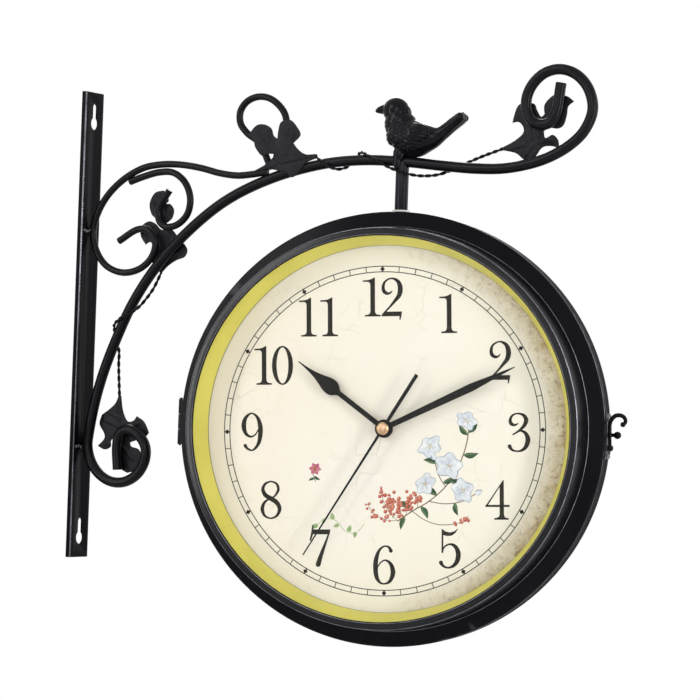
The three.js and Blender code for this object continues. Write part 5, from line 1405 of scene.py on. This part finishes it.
def hanger():
    """Tube with its saddle cut to the arm, two washers, and a hex bolt with its thread."""
    wall = fillet(rectangle(3.3, 5.5, 100.7, 142), [0.3, 0.5, 0, 0], 3)
    thing = raw_object("hanger_tube_body", about_hanger(wall, 48, True))
    near = ARM_PATH[PAST_LOOP & (np.abs(ARM_PATH[:, 0] - HANGER_X) < 16) & (ARM_PATH[:, 2] < 150)]
    above = prism(rectangle(HANGER_X - 14, HANGER_X + 14, -9, 9), "z", 140.8, 150)
    without(thing, [tube(near, MAIN_ROD + 0.25, 32, 0.01), above])
    thing.data.transform(WORLD)
    finish_piece(thing, BLACK, "bracket", ["hanger_tube"])
    for node, profile, finish, slot in (
            ("hanger_washer", rectangle(3.4, 7.3, 98.8, 100.4), WHITE_PLASTIC, "white_plastic"),
            ("inner_washer", rectangle(3.35, 4.9, 95, 96.2), STEEL, "steel")):
        shape = about_hanger(fillet(profile, 0.35, 3), 48, True)
        piece(node + "_disc", shape, finish, "bracket", [node])
    hexagon = [(HANGER_X + 4.73 * math.cos(a), 4.73 * math.sin(a)) for a in np.radians(np.arange(0, 360, 60))]
    head = raw_object("bolt_head", prism(hexagon, "z", 90.7, 94.7))
    cut_by(head, about_hanger([(0, 90.0), (4.0, 90.0), (5.6, 92.0), (5.6, 96), (0, 96)], 48), "INTERSECT")
    shank = [(0, 93.0), (THREAD, 93.0)]
    for k in range(THREAD_TURNS):
        shank += [(THREAD, 95.0 + k * THREAD_PITCH), (THREAD_ROOT, 95.4 + k * THREAD_PITCH)]
    shank += [(2.6, 124.2), (2.2, 124.7), (0, 124.7)]
    shape = merge([shape_of(head), about_hanger(shank, 32)])
    piece("hanger_bolt_shank", shape, STEEL, "bracket", ["hanger_bolt"], crease=30)


hanger()

# ---------------------------------------------------------------- cell and movement
CELL_DEPTH, CELL_Z, CELL_R = 19.7, -16.0, 7.1
MOVEMENT_BACK, MOVEMENT_HALF = 12.0, 27.0


def about_cell(profile, segments):
    return turned_about("x", profile, (0, -CELL_DEPTH, CELL_Z), segments)


def cell(side):
    place, body = SIDES[side]
    jacket = fillet([(0, -24.5), (CELL_R - 0.6, -24.5), (CELL_R, -24.0), (CELL_R, 23.4), (CELL_R - 0.5, 24.2),
                     (CELL_R - 1.6, 24.2), (0, 24.2)], [0, 0.3, 0.3, 0.3, 0.3, 0.2, 0], 3, False)
    piece(side + "_cell_jacket", about_cell(jacket, 48), JACKET, body, [side + "_battery"],
          place)
    cap = [(0, 24.1), (5.2, 24.1), (5.2, 24.5), (2.8, 24.6), (2.7, 25.6), (2.3, 25.9), (0, 25.9)]
    foot = [(0, -24.4), (6.1, -24.4), (6.1, -24.6), (0, -24.75)]
    piece(side + "_cell_ends", merge([about_cell(cap, 40), about_cell(foot, 40)]), STEEL, body,
          place=place)


def movement_detail(side):
    """Moulded rim, lid ribs and screws on the back of the movement."""
    place, body = SIDES[side]
    back, half = MOVEMENT_BACK, MOVEMENT_HALF
    bars = [(-half, half, 25.4, 26.6), (-half, half, -26.6, -25.4), (-26.6, -25.4, -25.4, 25.4),
            (25.4, 26.6, -25.4, 25.4), *((x - 0.5, x + 0.5, 9, 22) for x in (-18, -12, 12, 18))]
    ribs = merge([sheet_of([rectangle(*bar)], back + 0.2, back - 0.5) for bar in bars])
    thing = applied(raw_object(side + "_movement_ribs", ribs), bevel(0.15, 0.7))
    thing.data.transform(place)
    finish_piece(thing, BLACK_PLASTIC, body, (), 30)
    profile = [(0, back + 0.2), (1.7, back + 0.2), (1.8, back - 0.1), (1.5, back - 0.5), (0, back - 0.55)]
    verts, faces = lathe(profile, 24, False)
    heads = [([(u + x, v, w + z) for u, v, w in verts], faces)
             for x, z in ((-21.5, 21.5), (21.5, 21.5), (-21.5, -2.5), (21.5, -2.5))]
    piece(side + "_movement_screws", merge(heads), STEEL, body, place=place)


for side in SIDES:
    cell(side)
    movement_detail(side)

# The solids that stay visible take the finish of their slot.
FINISHES = {"black_coat": BLACK, "yellow_plastic": YELLOW, "glass": GLASS, "black_plastic": BLACK_PLASTIC,
            "brass": BRASS, "steel": STEEL, "white_plastic": WHITE_PLASTIC, "hand_black": HAND_BLACK,
            "battery_jacket": JACKET}
for part in frame["record"]["subparts"]:
    node = frame["nodes"][part["node"]]
    if not node.hide_render:
        node.material_slots[0].material = FINISHES[part["material_slot"]]
